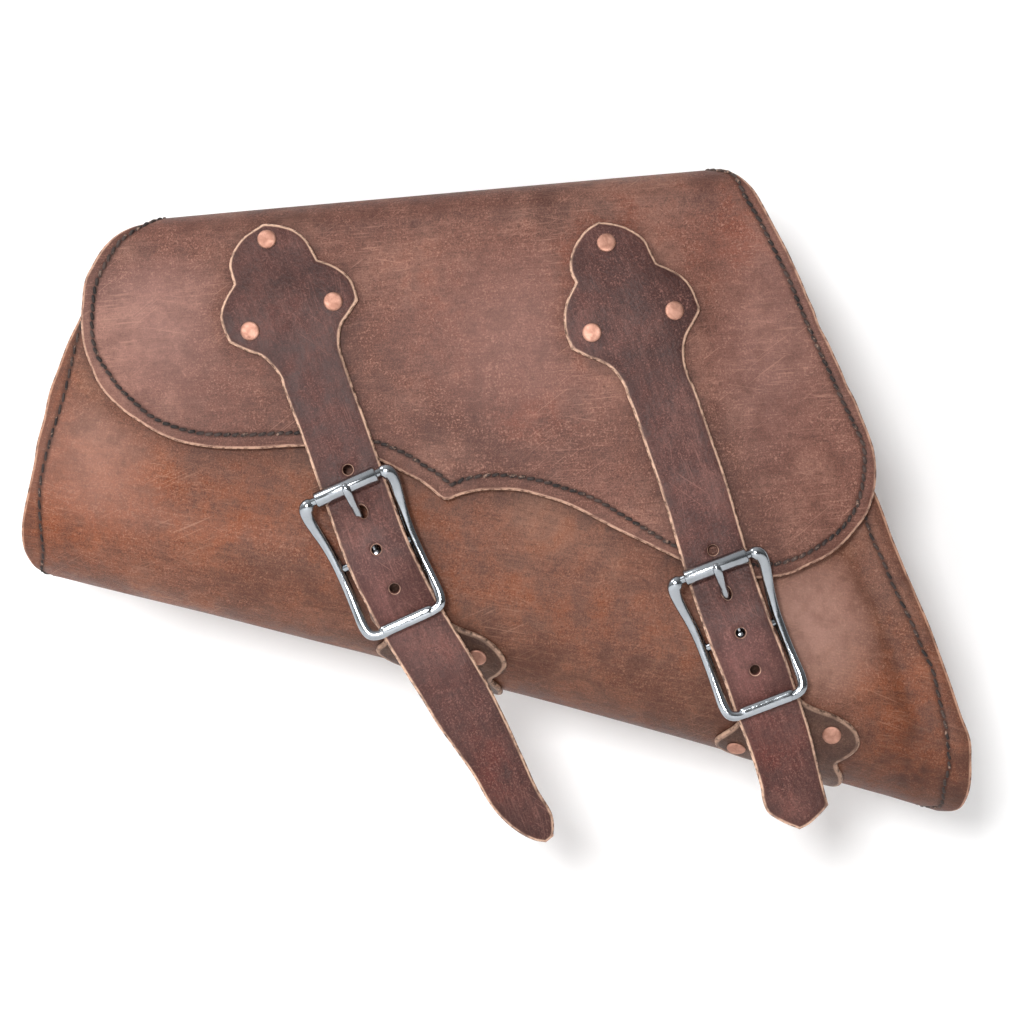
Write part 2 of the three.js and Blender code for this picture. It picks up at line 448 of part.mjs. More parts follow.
// ---- billet tabs on the lid -----------------------------------------------------------
function tab(side) {
  const o = TAB[side], xs = o.map((p) => p[0]), zs = o.map((p) => p[1]);
  const x0 = Math.min(...xs) - 2, x1 = Math.max(...xs) + 2, z0 = Math.min(...zs) - 2, z1 = Math.max(...zs) + 2;
  const G = Array.from({ length: 9 }, (_, i) => Array.from({ length: 5 }, (_, j) => {
    const x = x0 + ((x1 - x0) * j) / 4, z = z0 + ((z1 - z0) * i) / 8;
    return [x, lidY(x, z), z];
  }));
  const N = normals(G, () => [0, -1, 0]);
  let m = sheet(G, N, GAP + 0.15, GAP + 0.15 + TAB_THICK).intersect(prism(o, -60, -140));
  LID_RIVETS[side].forEach(([x, z], k) => {
    const n = unit([0, -1, 0].map((v, i) => v + (i === 0 ? (lidY(x + 1, z) - lidY(x - 1, z)) / 2 : i === 2 ? (lidY(x, z + 1) - lidY(x, z - 1)) / 2 : 0)));
    const base = add([x, lidY(x, z), z], n, GAP + 0.15 + TAB_THICK);
    const h = rivet(`${side}_tab_${["upper", "right", "left"][k]}`, base, n, GAP + 0.15 + TAB_THICK + LID_THICK + GAP + LINING);
    m = m.subtract(h);
    lid = lid.subtract(h);
    lining = lining.subtract(h);
  });
  node(side + "_strap_tab", m, LEATHER_MAT(STRAP_COL));
}
tab("left");
tab("right");
node("lid_panel", lid, LEATHER_MAT(LID_COL));
node("lid_lining", lining, LEATHER_MAT(LID_COL));

// ---- buckles --------------------------------------------------------------------------
const TONGUE = [
  [1.5, 1.2, 1.9, 1.7], [-4, 2.4, 1.9, 1.6], [-9, 2.5, 1.8, 1.5], [-14, 2.2, 1.7, 1.4], [-18, 2.9, 1.7, 1.4], [-22, 5.2, 1.7, 1.4], [-26, 8.3, 1.7, 1.4],
  [-29.6, 10.9, 1.7, 1.3], [-33.6, 12.15, 1.6, 1.2], [-36.8, 11.8, 1.2, 1.0],
];
const tongueBar = (F, grow) => bar(TONGUE.map(([u, w, a, b]) => ({ p: F.at(0, u, w), a: b + grow, b: a + grow })), F.l, 8);
function buckle(side) {
  const F = frames[side];
  const half = [
    [-15.8, -33.4, 6.7, 3.4, 2.8], [-18.6, -33.2, 6.7, 3.9, 3.0], [-21.0, -31.4, 6.2, 3.5, 2.9], [-21.7, -28, 5.2, 2.9, 2.6], [-21.0, -22, 3.6, 2.6, 2.3],
    [-19.6, -14, 1.8, 2.4, 2.2], [-18.7, -5, 0.4, 2.4, 2.3], [-18.5, 3, 0.1, 2.4, 2.3], [-18.6, 12, 0.6, 2.3, 2.1], [-18.9, 21, 1.6, 2.3, 2.0],
    [-18.9, 28, 2.6, 2.4, 2.0], [-17.6, 32.3, 3.1, 2.4, 2.0], [-14, 34.0, 3.2, 2.2, 1.9], [-6, 34.2, 3.2, 2.2, 1.8],
  ];
  const full = [...half, ...[...half].reverse().map(([l, ...r]) => [-l, ...r])];
  const ring = bar(full.map(([l, u, w, a, b]) => ({ p: F.at(l, u, w), a, b })), F.w, 8, 0.8);
  const step = bar([{ p: F.at(-8.5, 33.1, 3.2), a: 2.7, b: 1.7 }, { p: F.at(8.5, 33.1, 3.2), a: 2.7, b: 1.7 }], F.w, 10, 0.6);
  const frame = ring.add(rod(F.at(-17.5, -33.5, 6.7), F.at(17.5, -33.5, 6.7), 2.0, 10)).add(rod(F.at(-18.2, 0, 0), F.at(18.2, 0, 0), 2.1, 12)).add(step);
  node(side + "_buckle_frame", frame, STEEL());
  node(side + "_roller", rod(F.at(-15.2, -33.5, 6.7), F.at(15.2, -33.5, 6.7), 3.8, 14).subtract(rod(F.at(-16, -33.5, 6.7), F.at(16, -33.5, 6.7), 2.4, 10)), STEEL());
  const eye = rod(F.at(-2.1, 0, 0), F.at(2.1, 0, 0), 4.2, 12);
  node(side + "_tongue", eye.add(tongueBar(F, 0)).subtract(rod(F.at(-4, 0, 0), F.at(4, 0, 0), 2.6, 12)), STEEL());
}
buckle("left");
buckle("right");

// ---- straps ------------------------------------------------------------------------------
// inner face of the strap above the centre bar, against distance down the strap
const strapW = table([
  [-140, -0.4], [-36, -0.4], [-31, -0.35], [-27, 0.1], [-23, 1.1], [-19, 2.3], [-15, 3.5], [-11, 4.5], [-7, 5.1], [-3, 5.3], [3, 5.3], [7, 5.05],
  [11, 4.3], [15, 3.2], [19, 1.8], [23, 0.3], [27, -1.3], [31, -2.6], [35, -3.3], [40, -3.5], [60, -3.9], [90, -5.3], [120, -8], [165, -13],
]);
function strap(side) {
  const F = frames[side], b = BUCKLES[side];
  const us = [];
  for (let u = b.hingeU + 0.5; u < -38; u += 12) us.push(u);
  for (let u = -36; u <= 40; u += 3) us.push(u);
  for (let u = 50; u < b.tailU + 6; u += 14) us.push(u);
  us.push(b.tailU + 8);
  const L = 34;
  // above the buckle the strap lies on the lid; the inner face never goes below the lid's
  const inner = us.map((u) => [-L, L].map((l) => F.at(l, u, strapW(u))));
  const N = normals(inner, () => [0, -1, 0]);
  const body = slab(inner, inner.map((r, i) => r.map((p, j) => add(p, N[i][j], STRAP_THICK))));
  const cl = STRAP_LINE[side], tip = STRAP_TIP[side], west = [], east = [];
  for (let i = 1; i < cl.length - 1; i++) {
    const t = unit(sub(cl[i + 1], cl[i - 1])), n = [t[1], -t[0]];
    west.push(add(cl[i], n, STRAP_HALF));
    east.push(add(cl[i], n, -STRAP_HALF));
  }
  const downTo = (list, z) => list.filter(([, q]) => q > z);
  const outline = [...downTo(west, tip[0][1] + 9), ...tip, ...downTo(east, tip[tip.length - 1][1] + 9).reverse()];
  // square start at the hinge
  let m = body.intersect(prism(outline, -60, -140));
  for (const u of STRAP_HOLES[side]) {
    const w = strapW(u);
    // the hole centres follow the strap's centreline
    const p = F.at(0, u, w);
    let best = cl[0], bd = 1e9;
    for (let i = 0; i < cl.length - 1; i++)
      for (let k = 0; k < 8; k++) {
        const q = lerp(cl[i], cl[i + 1], k / 8), d = Math.abs(dot(sub([q[0], 0, q[1]], [p[0], 0, p[2]]), F.u));
        if (d < bd) (bd = d), (best = q);
      }
    m = m.subtract(rod([best[0], p[1] + 12, best[1]], [best[0], p[1] - 12, best[1]], HOLE_R, 12));
  }
  m = m.subtract(tongueBar(F, 0.42));
  node(side + "_strap", m, LEATHER_MAT(STRAP_COL));
}
strap("left");
strap("right");

export default saddlebag;
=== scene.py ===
# The looks of a leather motorcycle saddlebag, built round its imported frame. Lengths here are millimetres until a mesh is made.
import bpy, math
import numpy as np
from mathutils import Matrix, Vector, kdtree
from mathutils.geometry import delaunay_2d_cdt


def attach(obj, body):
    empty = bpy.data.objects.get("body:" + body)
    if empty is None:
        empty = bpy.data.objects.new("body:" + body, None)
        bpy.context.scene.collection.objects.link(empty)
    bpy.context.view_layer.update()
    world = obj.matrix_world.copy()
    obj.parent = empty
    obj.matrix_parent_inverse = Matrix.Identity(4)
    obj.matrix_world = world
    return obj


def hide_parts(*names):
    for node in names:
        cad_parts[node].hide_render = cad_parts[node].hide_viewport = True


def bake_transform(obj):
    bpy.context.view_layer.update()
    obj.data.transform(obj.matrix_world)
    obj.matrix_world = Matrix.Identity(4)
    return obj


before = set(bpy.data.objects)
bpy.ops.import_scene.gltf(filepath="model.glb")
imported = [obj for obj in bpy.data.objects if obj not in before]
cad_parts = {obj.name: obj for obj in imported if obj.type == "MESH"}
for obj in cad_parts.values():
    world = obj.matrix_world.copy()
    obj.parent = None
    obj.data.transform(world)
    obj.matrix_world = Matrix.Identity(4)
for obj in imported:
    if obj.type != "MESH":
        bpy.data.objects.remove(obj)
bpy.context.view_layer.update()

# ------------------------------------------------------------------ camera
PX = 0.46  # mm per picture unit at the front plane
CAM = (14.7, -98.0 - 1350.0, -19.3)
cam = bpy.data.objects.new("camera", bpy.data.cameras.new("camera"))
bpy.context.scene.collection.objects.link(cam)
cam.location = [v / 1000 for v in CAM]
cam.rotation_euler = (math.pi / 2, 0, 0)
cam.data.sensor_width = 36
cam.data.lens = 36 * 1350.0 / (1024 * PX)
cam.data.clip_start, cam.data.clip_end = 0.01, 20
bpy.context.scene.camera = cam

# ------------------------------------------------------------------ outlines and surfaces
SEAM_Y, CROWN, LEATHER, LID_THICK, LINING, LID_OFF = -90.0, 8.0, 3.0, 2.8, 1.0, 6.2
BACK, GAP, R, FOLD, BAR = 3.5, 0.3, 38.0, 14.0, -105.0
MARGIN = {"left": 7.0, "right": 18.0}
BUCKLES = {"left": dict(o=(-47.2, -38.6), ang=24.3, hinge=-86.0, tail=157.0), "right": dict(o=(119.3, -75.6), ang=20.8, hinge=-119.5, tail=92.0)}
BODY_LEFT = [(-149,108.6),(-158.2,105.8),(-167,100.7),(-173.4,93.8),(-178.5,86),(-182.2,78.2),(-185.4,70.8),(-188.6,64.4),(-191.4,58.4),(-193.7,52.4),(-196,46),(-198.7,39.1),(-200.6,32.2),(-201.9,25.3),(-203.8,18.4),(-205.6,11.5),(-206.5,4.6),(-207.9,-2.3),(-208.8,-9.2)]
BODY_RIGHT = [(108.6,132.5),(120.5,117.3),(130.2,101.7),(138,86.9),(144.9,73.6),(152.7,57.5),(160.1,41.4),(167.9,25.3),(174.8,9.2),(180.3,-4.6),(185.4,-16.1),(190.4,-29.9),(196,-43.7),(201.9,-57.5),(207.9,-71.3),(213,-85.1),(218,-98.9),(222.6,-112.7),(226.3,-126.5)]
LID_OUTLINE = [(-152.7,116.8),(-155,115),(-164.2,111.3),(-168.8,108.1),(-174.8,101.2),(-178.9,94.3),(-182.2,87.4),(-183.5,77.3),(-184,67.6),(-182.6,56.6),(-179.4,47.8),(-174.8,38.2),(-165.6,28.5),(-156.4,22.1),(-147.2,16.6),(-138,12.9),(-126.5,10.6),(-115.5,9.7),(-101.2,9.7),(-86.9,10.6),(-69,10.6),(-54.3,7.4),(-42.8,2.8),(-36.8,-0.5),(-27.6,-5.1),(-21.6,-9.7),(-17.9,-12.9),(-15.6,-13.8),(-13.3,-13.3),(-8.7,-11.5),(-0.9,-9.7),(8.3,-9.2),(18.4,-9.7),(27.6,-12),(40.5,-16.1),(55.2,-23.5),(63.9,-28.1),(72.7,-32.2),(82.3,-36.8),(92,-41.4),(106.7,-46.9),(120.5,-49.7),(134.3,-49.2),(142.1,-47.8),(150,-44.2),(159.6,-39.6),(167,-34),(174.3,-25.8),(178.9,-18.9),(181.7,-10.1),(182.6,-1.4),(181.7,8.7),(179.4,16.1),(175.7,25.3),(173,32.2),(169.3,39.1),(166.5,46),(163.3,52.9),(160.1,59.8),(156.4,66.7),(154.1,73.6),(150.9,80.5),(148.1,87.4),(144.9,94.3),(141.7,101.2),(138,108.1),(134.3,115),(130.6,121.9),(126.5,128.8),(120.5,135.7),(115,139.4),(111.3,140.3)]
LID_STITCH = [(-158.7,111.3),(-165.6,105.8),(-173,94.3),(-177.1,85.1),(-178.5,73.6),(-178.5,62.1),(-176.2,52.9),(-171.1,45.1),(-165.6,37.7),(-158.7,31.3),(-151.8,25.3),(-144.9,21.6),(-135.7,18.4),(-126.5,16.6),(-117.3,16.1),(-105.8,16.1),(-94.3,16.6),(-82.8,17),(-64.4,17),(-46,12.4),(-39.1,9.7),(-32.2,6.4),(-25.3,1.8),(-18.4,-2.3),(-12.9,-6.9),(-8.3,-4.6),(-2.3,-3.2),(6.9,-2.3),(18.4,-3.2),(29.9,-5.5),(36.8,-7.8),(46,-10.6),(55.2,-14.7),(66.7,-21.6),(78.2,-28.5),(85.1,-32.7),(101.2,-39.6),(119.6,-43.2),(134.8,-43.2),(147.2,-39.6),(156.4,-34.5),(165.6,-27.6),(172.5,-18.4),(175.7,-9.2),(177.1,2.3),(176.6,11.5),(172.5,20.7),(167.9,29.9),(161,45.1),(154.1,59.8),(147.2,75.9),(142.6,87.4),(135.7,101.2),(128.8,115),(121.9,126.5),(116.4,137.1)]
TAB = {"left": [(-90.2,38.6),(-90.6,40.9),(-93.8,46),(-99.4,51.5),(-106.7,54.3),(-114.5,58),(-117.3,64.4),(-118.7,71.3),(-116.4,78.7),(-112.7,85.1),(-115,93.8),(-113.2,100.7),(-108.6,107.2),(-102.6,111.3),(-98.9,113.2),(-87.4,111.3),(-80.5,106.7),(-75.4,98.4),(-74.5,96.6),(-66.2,93.4),(-59.8,88.3),(-57,82.8),(-55.7,77.7),(-59.8,71.3),(-63.5,65.3),(-63.9,56.1),(-61.2,47.4)],
       "right": [(67.6,33.1),(66.2,37.7),(61.2,45.1),(56.1,48.8),(49.2,51.5),(41.9,55.2),(39.1,62.6),(38.4,71.3),(40,78.2),(43.7,85.6),(41.4,90.6),(41.4,97.1),(44.2,104.4),(48.8,110.4),(54.3,114.1),(63.9,112.7),(70.8,109.5),(75.9,105.3),(78.7,99.4),(81,94.8),(88.3,91.5),(94.3,87.4),(98,81.9),(101.2,73.6),(98,67.2),(94.3,60.3),(93.6,51.5),(95.7,42.8)]}
STRAP_LINE = {"left": [(-77.3,47.8),(-75.9,42.3),(-72.7,34.5),(-66.2,17),(-60.3,0),(-53.8,-18.4),(-46.5,-37.7),(-39.1,-53.8),(-31.3,-69),(-19.8,-89.2),(-10.6,-104.4),(-4.1,-115.5),(4.1,-129.7),(12,-144),(17.9,-154.6),(23.5,-163.8),(30.4,-171.6)],
              "right": [(80.5,43.2),(82.3,37.7),(84.2,32.2),(91.1,12),(98.4,-9.2),(105.8,-34.5),(112.2,-55.2),(119.1,-75.4),(125.6,-91.5),(131.1,-106.7),(137.5,-125.1),(142.6,-141.7),(145.4,-154.1),(146.7,-164.7)]}
STRAP_TIP = {"left": [(-35.4,-91.1),(-26.2,-105.8),(-18.9,-117.8),(-11,-128.8),(-2.8,-140.8),(3.7,-152.3),(10.1,-160.5),(17.9,-167),(25.3,-170.7),(30.4,-171.6),(33.8,-168.8),(34,-162.8),(32.7,-157.3),(26.7,-147.2),(19.8,-132),(12.9,-116.8),(6,-102.6),(-2.8,-86.9)],
             "right": [(122.8,-126.5),(128.6,-144.9),(129.7,-151.8),(132,-157.1),(138.7,-161.5),(146.7,-164.9),(151.3,-162.4),(157.6,-156.4),(159.8,-153.6),(155.9,-138.9),(150.9,-118.7)]}
LID_RIVETS = {"left": [(-97.8,105.4),(-67,76.5),(-105,63.3)], "right": [(58,103.3),(88.6,72.6),(51.2,62.6)]}
SEAM_L = [(-173,95.7),(-180.3,81),(-185.4,65.8),(-192.7,35),(-199.6,12.4),(-203.8,-6.4),(-204.2,-25.3),(-204.2,-38.2),(-200.1,-47.8)]
SEAM_R = [(101.2,128.8),(121.9,105.8),(142.6,69),(161,32.2),(178,-20.7),(181.7,-32.2),(186.3,-41.4),(190,-50.6),(195.5,-62.1),(200.1,-71.3),(204.7,-82.8),(209.3,-92),(212.5,-105.8),(215.3,-117.3),(216.7,-128.8),(217.6,-138),(216.2,-144.9),(213,-154.1),(212.1,-157.3)]
HOLES = {"left": (-40.6, -20.6, -2.0, 17.8), "right": (-40.7, -20.6, -1.5, 17.1)}

SX, SZ = 0.9665, -0.2566
rng = np.random.default_rng(11)


def smooth(x):
    x = np.clip(x, 0, 1)
    return x * x * (3 - 2 * x)


def to_st(x, z):
    return x * SX + z * SZ, -x * SZ + z * SX


def to_xz(s, t):
    return s * SX - t * SZ, s * SZ + t * SX


def bottom_t(s):
    return -100.5 + 3.4 * np.maximum(0, 1 - ((s - 28) / 228) ** 2)


def table(rows):
    a = np.array(sorted(rows), float)
    return lambda x: np.interp(x, a[:, 0], a[:, 1])


s_left = table([(0, -187), (1, -190), (3, -193), (9, -196.5), (15, -198.5), (22, -199.5), (38, -200)])
s_right = table([(0, 251), (2, 256), (4.6, 258.5), (7, 259), (14, 258.5), (21, 257), (27, 255), (38, 251.4)])
left_x = table([(z, x) for x, z in BODY_LEFT])
right_x = table([(z, x) for x, z in BODY_RIGHT])


def top_z(x):
    return 130.4 + 0.0888 * x


class Waves:
    """Smooth unevenness: a sum of sines with fixed random directions."""

    def __init__(self, seed, n, low, high):
        g = np.random.default_rng(seed)
        wl, th = g.uniform(low, high, n), g.uniform(0, 2 * math.pi, n)
        self.k = np.stack([np.cos(th), np.sin(th)], 1) * (2 * math.pi / wl)[:, None]
        self.p, self.a = g.uniform(0, 2 * math.pi, n), g.uniform(0.5, 1, n)
        self.a /= np.abs(self.a).sum() ** 0.5 * 1.6

    def __call__(self, x, z):
        x, z = np.asarray(x, float), np.asarray(z, float)
        return (self.a * np.sin(x[..., None] * self.k[:, 0] + z[..., None] * self.k[:, 1] + self.p)).sum(-1)


W_BODY, W_LID, W_FINE = Waves(3, 14, 55, 160), Waves(5, 14, 60, 170), Waves(9, 26, 16, 48)


def crown(x, z, dl=0.0, dr=0.0):
    l = smooth((x - left_x(z) - dl) / (60 - dl))
    r = smooth(((right_x(z) - x) * 0.9 - dr) / (60 - dr * 0.4))
    t = smooth((top_z(x) - z) / 60)
    return l * r * t


def front_y(x, z):
    """The front panel's outer face."""
    dr = (right_x(z) - x) * 0.9
    dl = x - left_x(z)
    groove = 2.2 * np.exp(-(((dr - 19) / 5.0) ** 2)) + 0.7 * np.exp(-(((dl - 9.5) / 3.5) ** 2))
    uneven = 0.55 * W_BODY(x, z) + 0.22 * W_FINE(x, z)
    inner = smooth(dr / 30) * smooth(dl / 25)
    return SEAM_Y - CROWN * crown(x, z, 4, 14) + groove + uneven * inner * 0.8 + 0.4


def lid_y(x, z):
    return SEAM_Y - CROWN * crown(x, z) - LID_OFF + (0.28 * W_LID(x, z) + 0.12 * W_FINE(x, z))


QUARTER = R * math.pi / 2


def wrap_sa(s, a):
    """A point of the wrap's outer face: s along the bottom, a down the section from where the roll begins."""
    s, a = np.broadcast_arrays(np.asarray(s, float), np.asarray(a, float))
    th = np.clip(a, 0, QUARTER) / R
    h = np.where(a < 0, R - a, R * (1 - np.sin(th)))
    x, z = to_xz(s, bottom_t(s) + h)
    x0, z0 = to_xz(s, bottom_t(s) + R)
    y = np.where(a < 0, front_y(x, z), front_y(x0, z0) + R * (1 - np.cos(th)) + np.maximum(0, a - QUARTER))
    under = smooth((a - QUARTER * 0.8) / 30)
    sag = 0.8 * under * W_BODY(s, a)
    return np.stack([x, y, z + sag * smooth((100 - a) / 30)], -1)


def xz_to_sa(x, z):
    s, t = to_st(np.asarray(x, float), np.asarray(z, float))
    h = t - bottom_t(s)
    a = np.where(h >= R, R - h, R * np.arcsin(np.clip(1 - h / R, -1, 1)))
    return s, a


def out_dir(a):
    th = np.clip(a, 0, QUARTER) / R
    dx, dz = to_xz(0 * th, -np.sin(th))
    return np.stack([dx, -np.cos(th), dz], -1)


def unit(v):
    v = np.asarray(v, float)
    return v / np.maximum(np.linalg.norm(v, axis=-1, keepdims=True), 1e-12)


class Local:
    """A buckle's own axes: l across, u down the strap, w out of the bag."""

    def __init__(self, side):
        b = BUCKLES[side]
        a = math.radians(b["ang"])
        self.l = np.array([math.cos(a), 0, math.sin(a)])
        self.u = np.array([math.sin(a), 0, -math.cos(a)])
        self.w = np.array([0, -1.0, 0])
        self.o = np.array([b["o"][0], BAR, b["o"][1]])

    def at(self, l, u, w):
        l, u, w = (np.asarray(v, float)[..., None] for v in (l, u, w))
        return self.o + l * self.l + u * self.u + w * self.w

    def u_of(self, x, z):
        return (x - self.o[0]) * self.u[0] + (z - self.o[2]) * self.u[2]


LOC = {s: Local(s) for s in BUCKLES}

# ------------------------------------------------------------------ 2D and mesh helpers


def catmull(P, n):
    """n points along a smooth curve through P (open)."""
    P = np.asarray(P, float)
    Q = np.vstack([2 * P[0] - P[1], P, 2 * P[-1] - P[-2]])
    d = np.concatenate([[0], np.cumsum(np.linalg.norm(np.diff(P, axis=0), axis=1))])
    t = np.linspace(0, d[-1], n)
    i = np.clip(np.searchsorted(d, t, side="right") - 1, 0, len(P) - 2)
    f = ((t - d[i]) / np.maximum(d[i + 1] - d[i], 1e-9))[:, None]
    p0, p1, p2, p3 = Q[i], Q[i + 1], Q[i + 2], Q[i + 3]
    # tangents scaled to the chord, so that uneven spacing doesn't overshoot
    l1 = (d[i + 1] - d[i])[:, None]
    dp = lambda a, b: np.maximum(np.linalg.norm(b - a, axis=1)[:, None], 1e-9)
    m1 = l1 * (p2 - p0) / (dp(p0, p1) + dp(p1, p2))
    m2 = l1 * (p3 - p1) / (dp(p1, p2) + dp(p2, p3))
    f2, f3 = f * f, f * f * f
    return (2 * f3 - 3 * f2 + 1) * p1 + (f3 - 2 * f2 + f) * m1 + (-2 * f3 + 3 * f2) * p2 + (f3 - f2) * m2


def resample(P, ds, closed=False):
    P = np.asarray(P, float)
    if closed:
        P = np.vstack([P, P[:1]])
    L = np.linalg.norm(np.diff(P, axis=0), axis=1).sum()
    n = max(3, int(round(L / ds)) + 1)
    Q = catmull(P, max(n * 4, 40))
    d = np.concatenate([[0], np.cumsum(np.linalg.norm(np.diff(Q, axis=0), axis=1))])
    t = np.linspace(0, d[-1], n)
    out = np.stack([np.interp(t, d, Q[:, k]) for k in range(Q.shape[1])], 1)
    return out[:-1] if closed else out


def smooth_loop(P, ds, corner=36.0):
    """A closed outline with smooth runs between its corners, sampled every ds."""
    P = np.asarray(P, float)
    n = len(P)
    a = unit(P - np.roll(P, 1, 0))
    b = unit(np.roll(P, -1, 0) - P)
    turn = np.degrees(np.arccos(np.clip((a * b).sum(1), -1, 1)))
    corners = [i for i in range(n) if turn[i] > corner]
    if not corners:
        return resample(P, ds, closed=True)
    out = []
    for k, i in enumerate(corners):
        j = corners[(k + 1) % len(corners)]
        idx = [i]
        while idx[-1] != j or len(idx) == 1:
            idx.append((idx[-1] + 1) % n)
            if idx[-1] == j:
                break
        out.append(resample(P[idx], ds)[:-1])
    return np.vstack(out)


def area2(P):
    x, y = P[:, 0], P[:, 1]
    return (x * np.roll(y, -1) - np.roll(x, -1) * y).sum() / 2


def inset(P, d):
    P = np.asarray(P, float)
    t = unit(np.roll(P, -1, 0) - np.roll(P, 1, 0))
    n = np.stack([-t[:, 1], t[:, 0]], 1) * (1 if area2(P) > 0 else -1)
    return P + n * d


def inside(pts, loop):
    r = np.zeros(len(pts), bool)
    x, y = pts[:, 0], pts[:, 1]
    a, b = loop, np.roll(loop, -1, 0)
    for (x0, y0), (x1, y1) in zip(a, b):
        if y0 == y1:
            continue
        m = (y0 > y) != (y1 > y)
        r ^= m & (x < (x1 - x0) * (y - y0) / (y1 - y0) + x0)
    return r


def nearest(points, to):
    """Distance of each point to the nearest of `to` (any number of dimensions up to 3)."""
    to = np.asarray(to, float)
    if to.shape[1] == 2:
        to = np.c_[to, np.zeros(len(to))]
    pts = np.asarray(points, float)
    if pts.shape[1] == 2:
        pts = np.c_[pts, np.zeros(len(pts))]
    kd = kdtree.KDTree(len(to))
    for i, p in enumerate(to):
        kd.insert(p, i)
    kd.balance()
    return np.array([kd.find(p)[2] for p in pts])


def dense(P, ds=0.5, closed=False):
    P = np.asarray(P, float)
    Q = np.vstack([P, P[:1]]) if closed else P
    out = []
    for a, b in zip(Q[:-1], Q[1:]):
        n = max(1, int(np.ceil(np.linalg.norm(b - a) / ds)))
        out.append(a + (b - a) * (np.arange(n) / n)[:, None])
    return np.vstack(out)


def normals_of(V, F):
    N = np.zeros_like(V)
    for f in (F if isinstance(F, list) else [F]):
        f = np.asarray(f)
        n = np.cross(V[f[:, 1]] - V[f[:, 0]], V[f[:, -1]] - V[f[:, 0]])
        for k in range(f.shape[1]):
            np.add.at(N, f[:, k], n)
    return unit(N)


def make(name, V, F, attrs=None, smooth_deg=50):
    me = bpy.data.meshes.new(name)
    faces = [tuple(int(i) for i in f) for arr in F for f in arr]
    me.from_pydata((np.asarray(V) / 1000).tolist(), [], faces)
    me.validate()
    for k, v in (attrs or {}).items():
        at = me.attributes.new(k, "FLOAT", "POINT")
        if len(me.vertices) == len(v):
            at.data.foreach_set("value", np.asarray(v, np.float32))
    ob = bpy.data.objects.new(name, me)
    bpy.context.scene.collection.objects.link(ob)
    me.polygons.foreach_set("use_smooth", [True] * len(me.polygons))
    me.update()
    return ob


HOLE_RIM = 3.01


def thicken(name, V, F, N, t, r, edge_d, seam_d, groove=0.5, steps=5):
    """Gives an open surface (outer face V, faces F counterclockwise from outside) a thickness t inwards, with a rounded rim of radius r."""
    V = V - N * (groove * np.exp(-((seam_d / 1.3) ** 2)))[:, None]
    n = len(V)
    cnt = {}
    for arr in F:
        for f in arr:
            for i in range(len(f)):
                a, b = int(f[i]), int(f[(i + 1) % len(f)])
                cnt[(a, b)] = 1
    rim = [(a, b) for a, b in cnt if (b, a) not in cnt]
    T = np.zeros_like(V)
    for a, b in rim:
        d = V[b] - V[a]
        d = d / max(np.linalg.norm(d), 1e-9)
        T[a] += d
        T[b] += d
    ids = sorted({i for e in rim for i in e})
    pos = {v: k for k, v in enumerate(ids)}
    I = np.array(ids)
    E = unit(np.cross(unit(T[I]), N[I]))
    rings = []
    verts = [V, V - N * t]
    ed = [edge_d, edge_d]
    sd = [seam_d, np.full(n, 9.0)]
    ins = [np.zeros(n), np.ones(n)]
    base = 2 * n
    for k in range(1, steps):
        ph = math.pi * k / steps
        verts.append(V[I] + E * r * math.sin(ph) - N[I] * (t / 2) * (1 - math.cos(ph)))
        e = np.full(len(I), -1.0 if 1 < k < steps - 1 else -0.5)
        ed.append(np.where(np.abs(edge_d[I] - HOLE_RIM) < 1e-3, 0.7 if k == 1 else 2.0, e))
        sd.append(np.full(len(I), 9.0))
        ins.append(np.full(len(I), 0.5))
        rings.append(base)
        base += len(I)
    quads = []
    for a, b in rim:
        chain_a = [a] + [rg + pos[a] for rg in rings] + [n + a]
        chain_b = [b] + [rg + pos[b] for rg in rings] + [n + b]
        for k in range(len(chain_a) - 1):
            quads.append((chain_b[k], chain_a[k], chain_a[k + 1], chain_b[k + 1]))
    faces = list(F) + [np.asarray(f)[:, ::-1] + n for f in F] + [np.array(quads)]
    return make(name, np.vstack(verts), faces, {"edge": np.concatenate(ed), "seam": np.concatenate(sd), "flesh": np.concatenate(ins)})


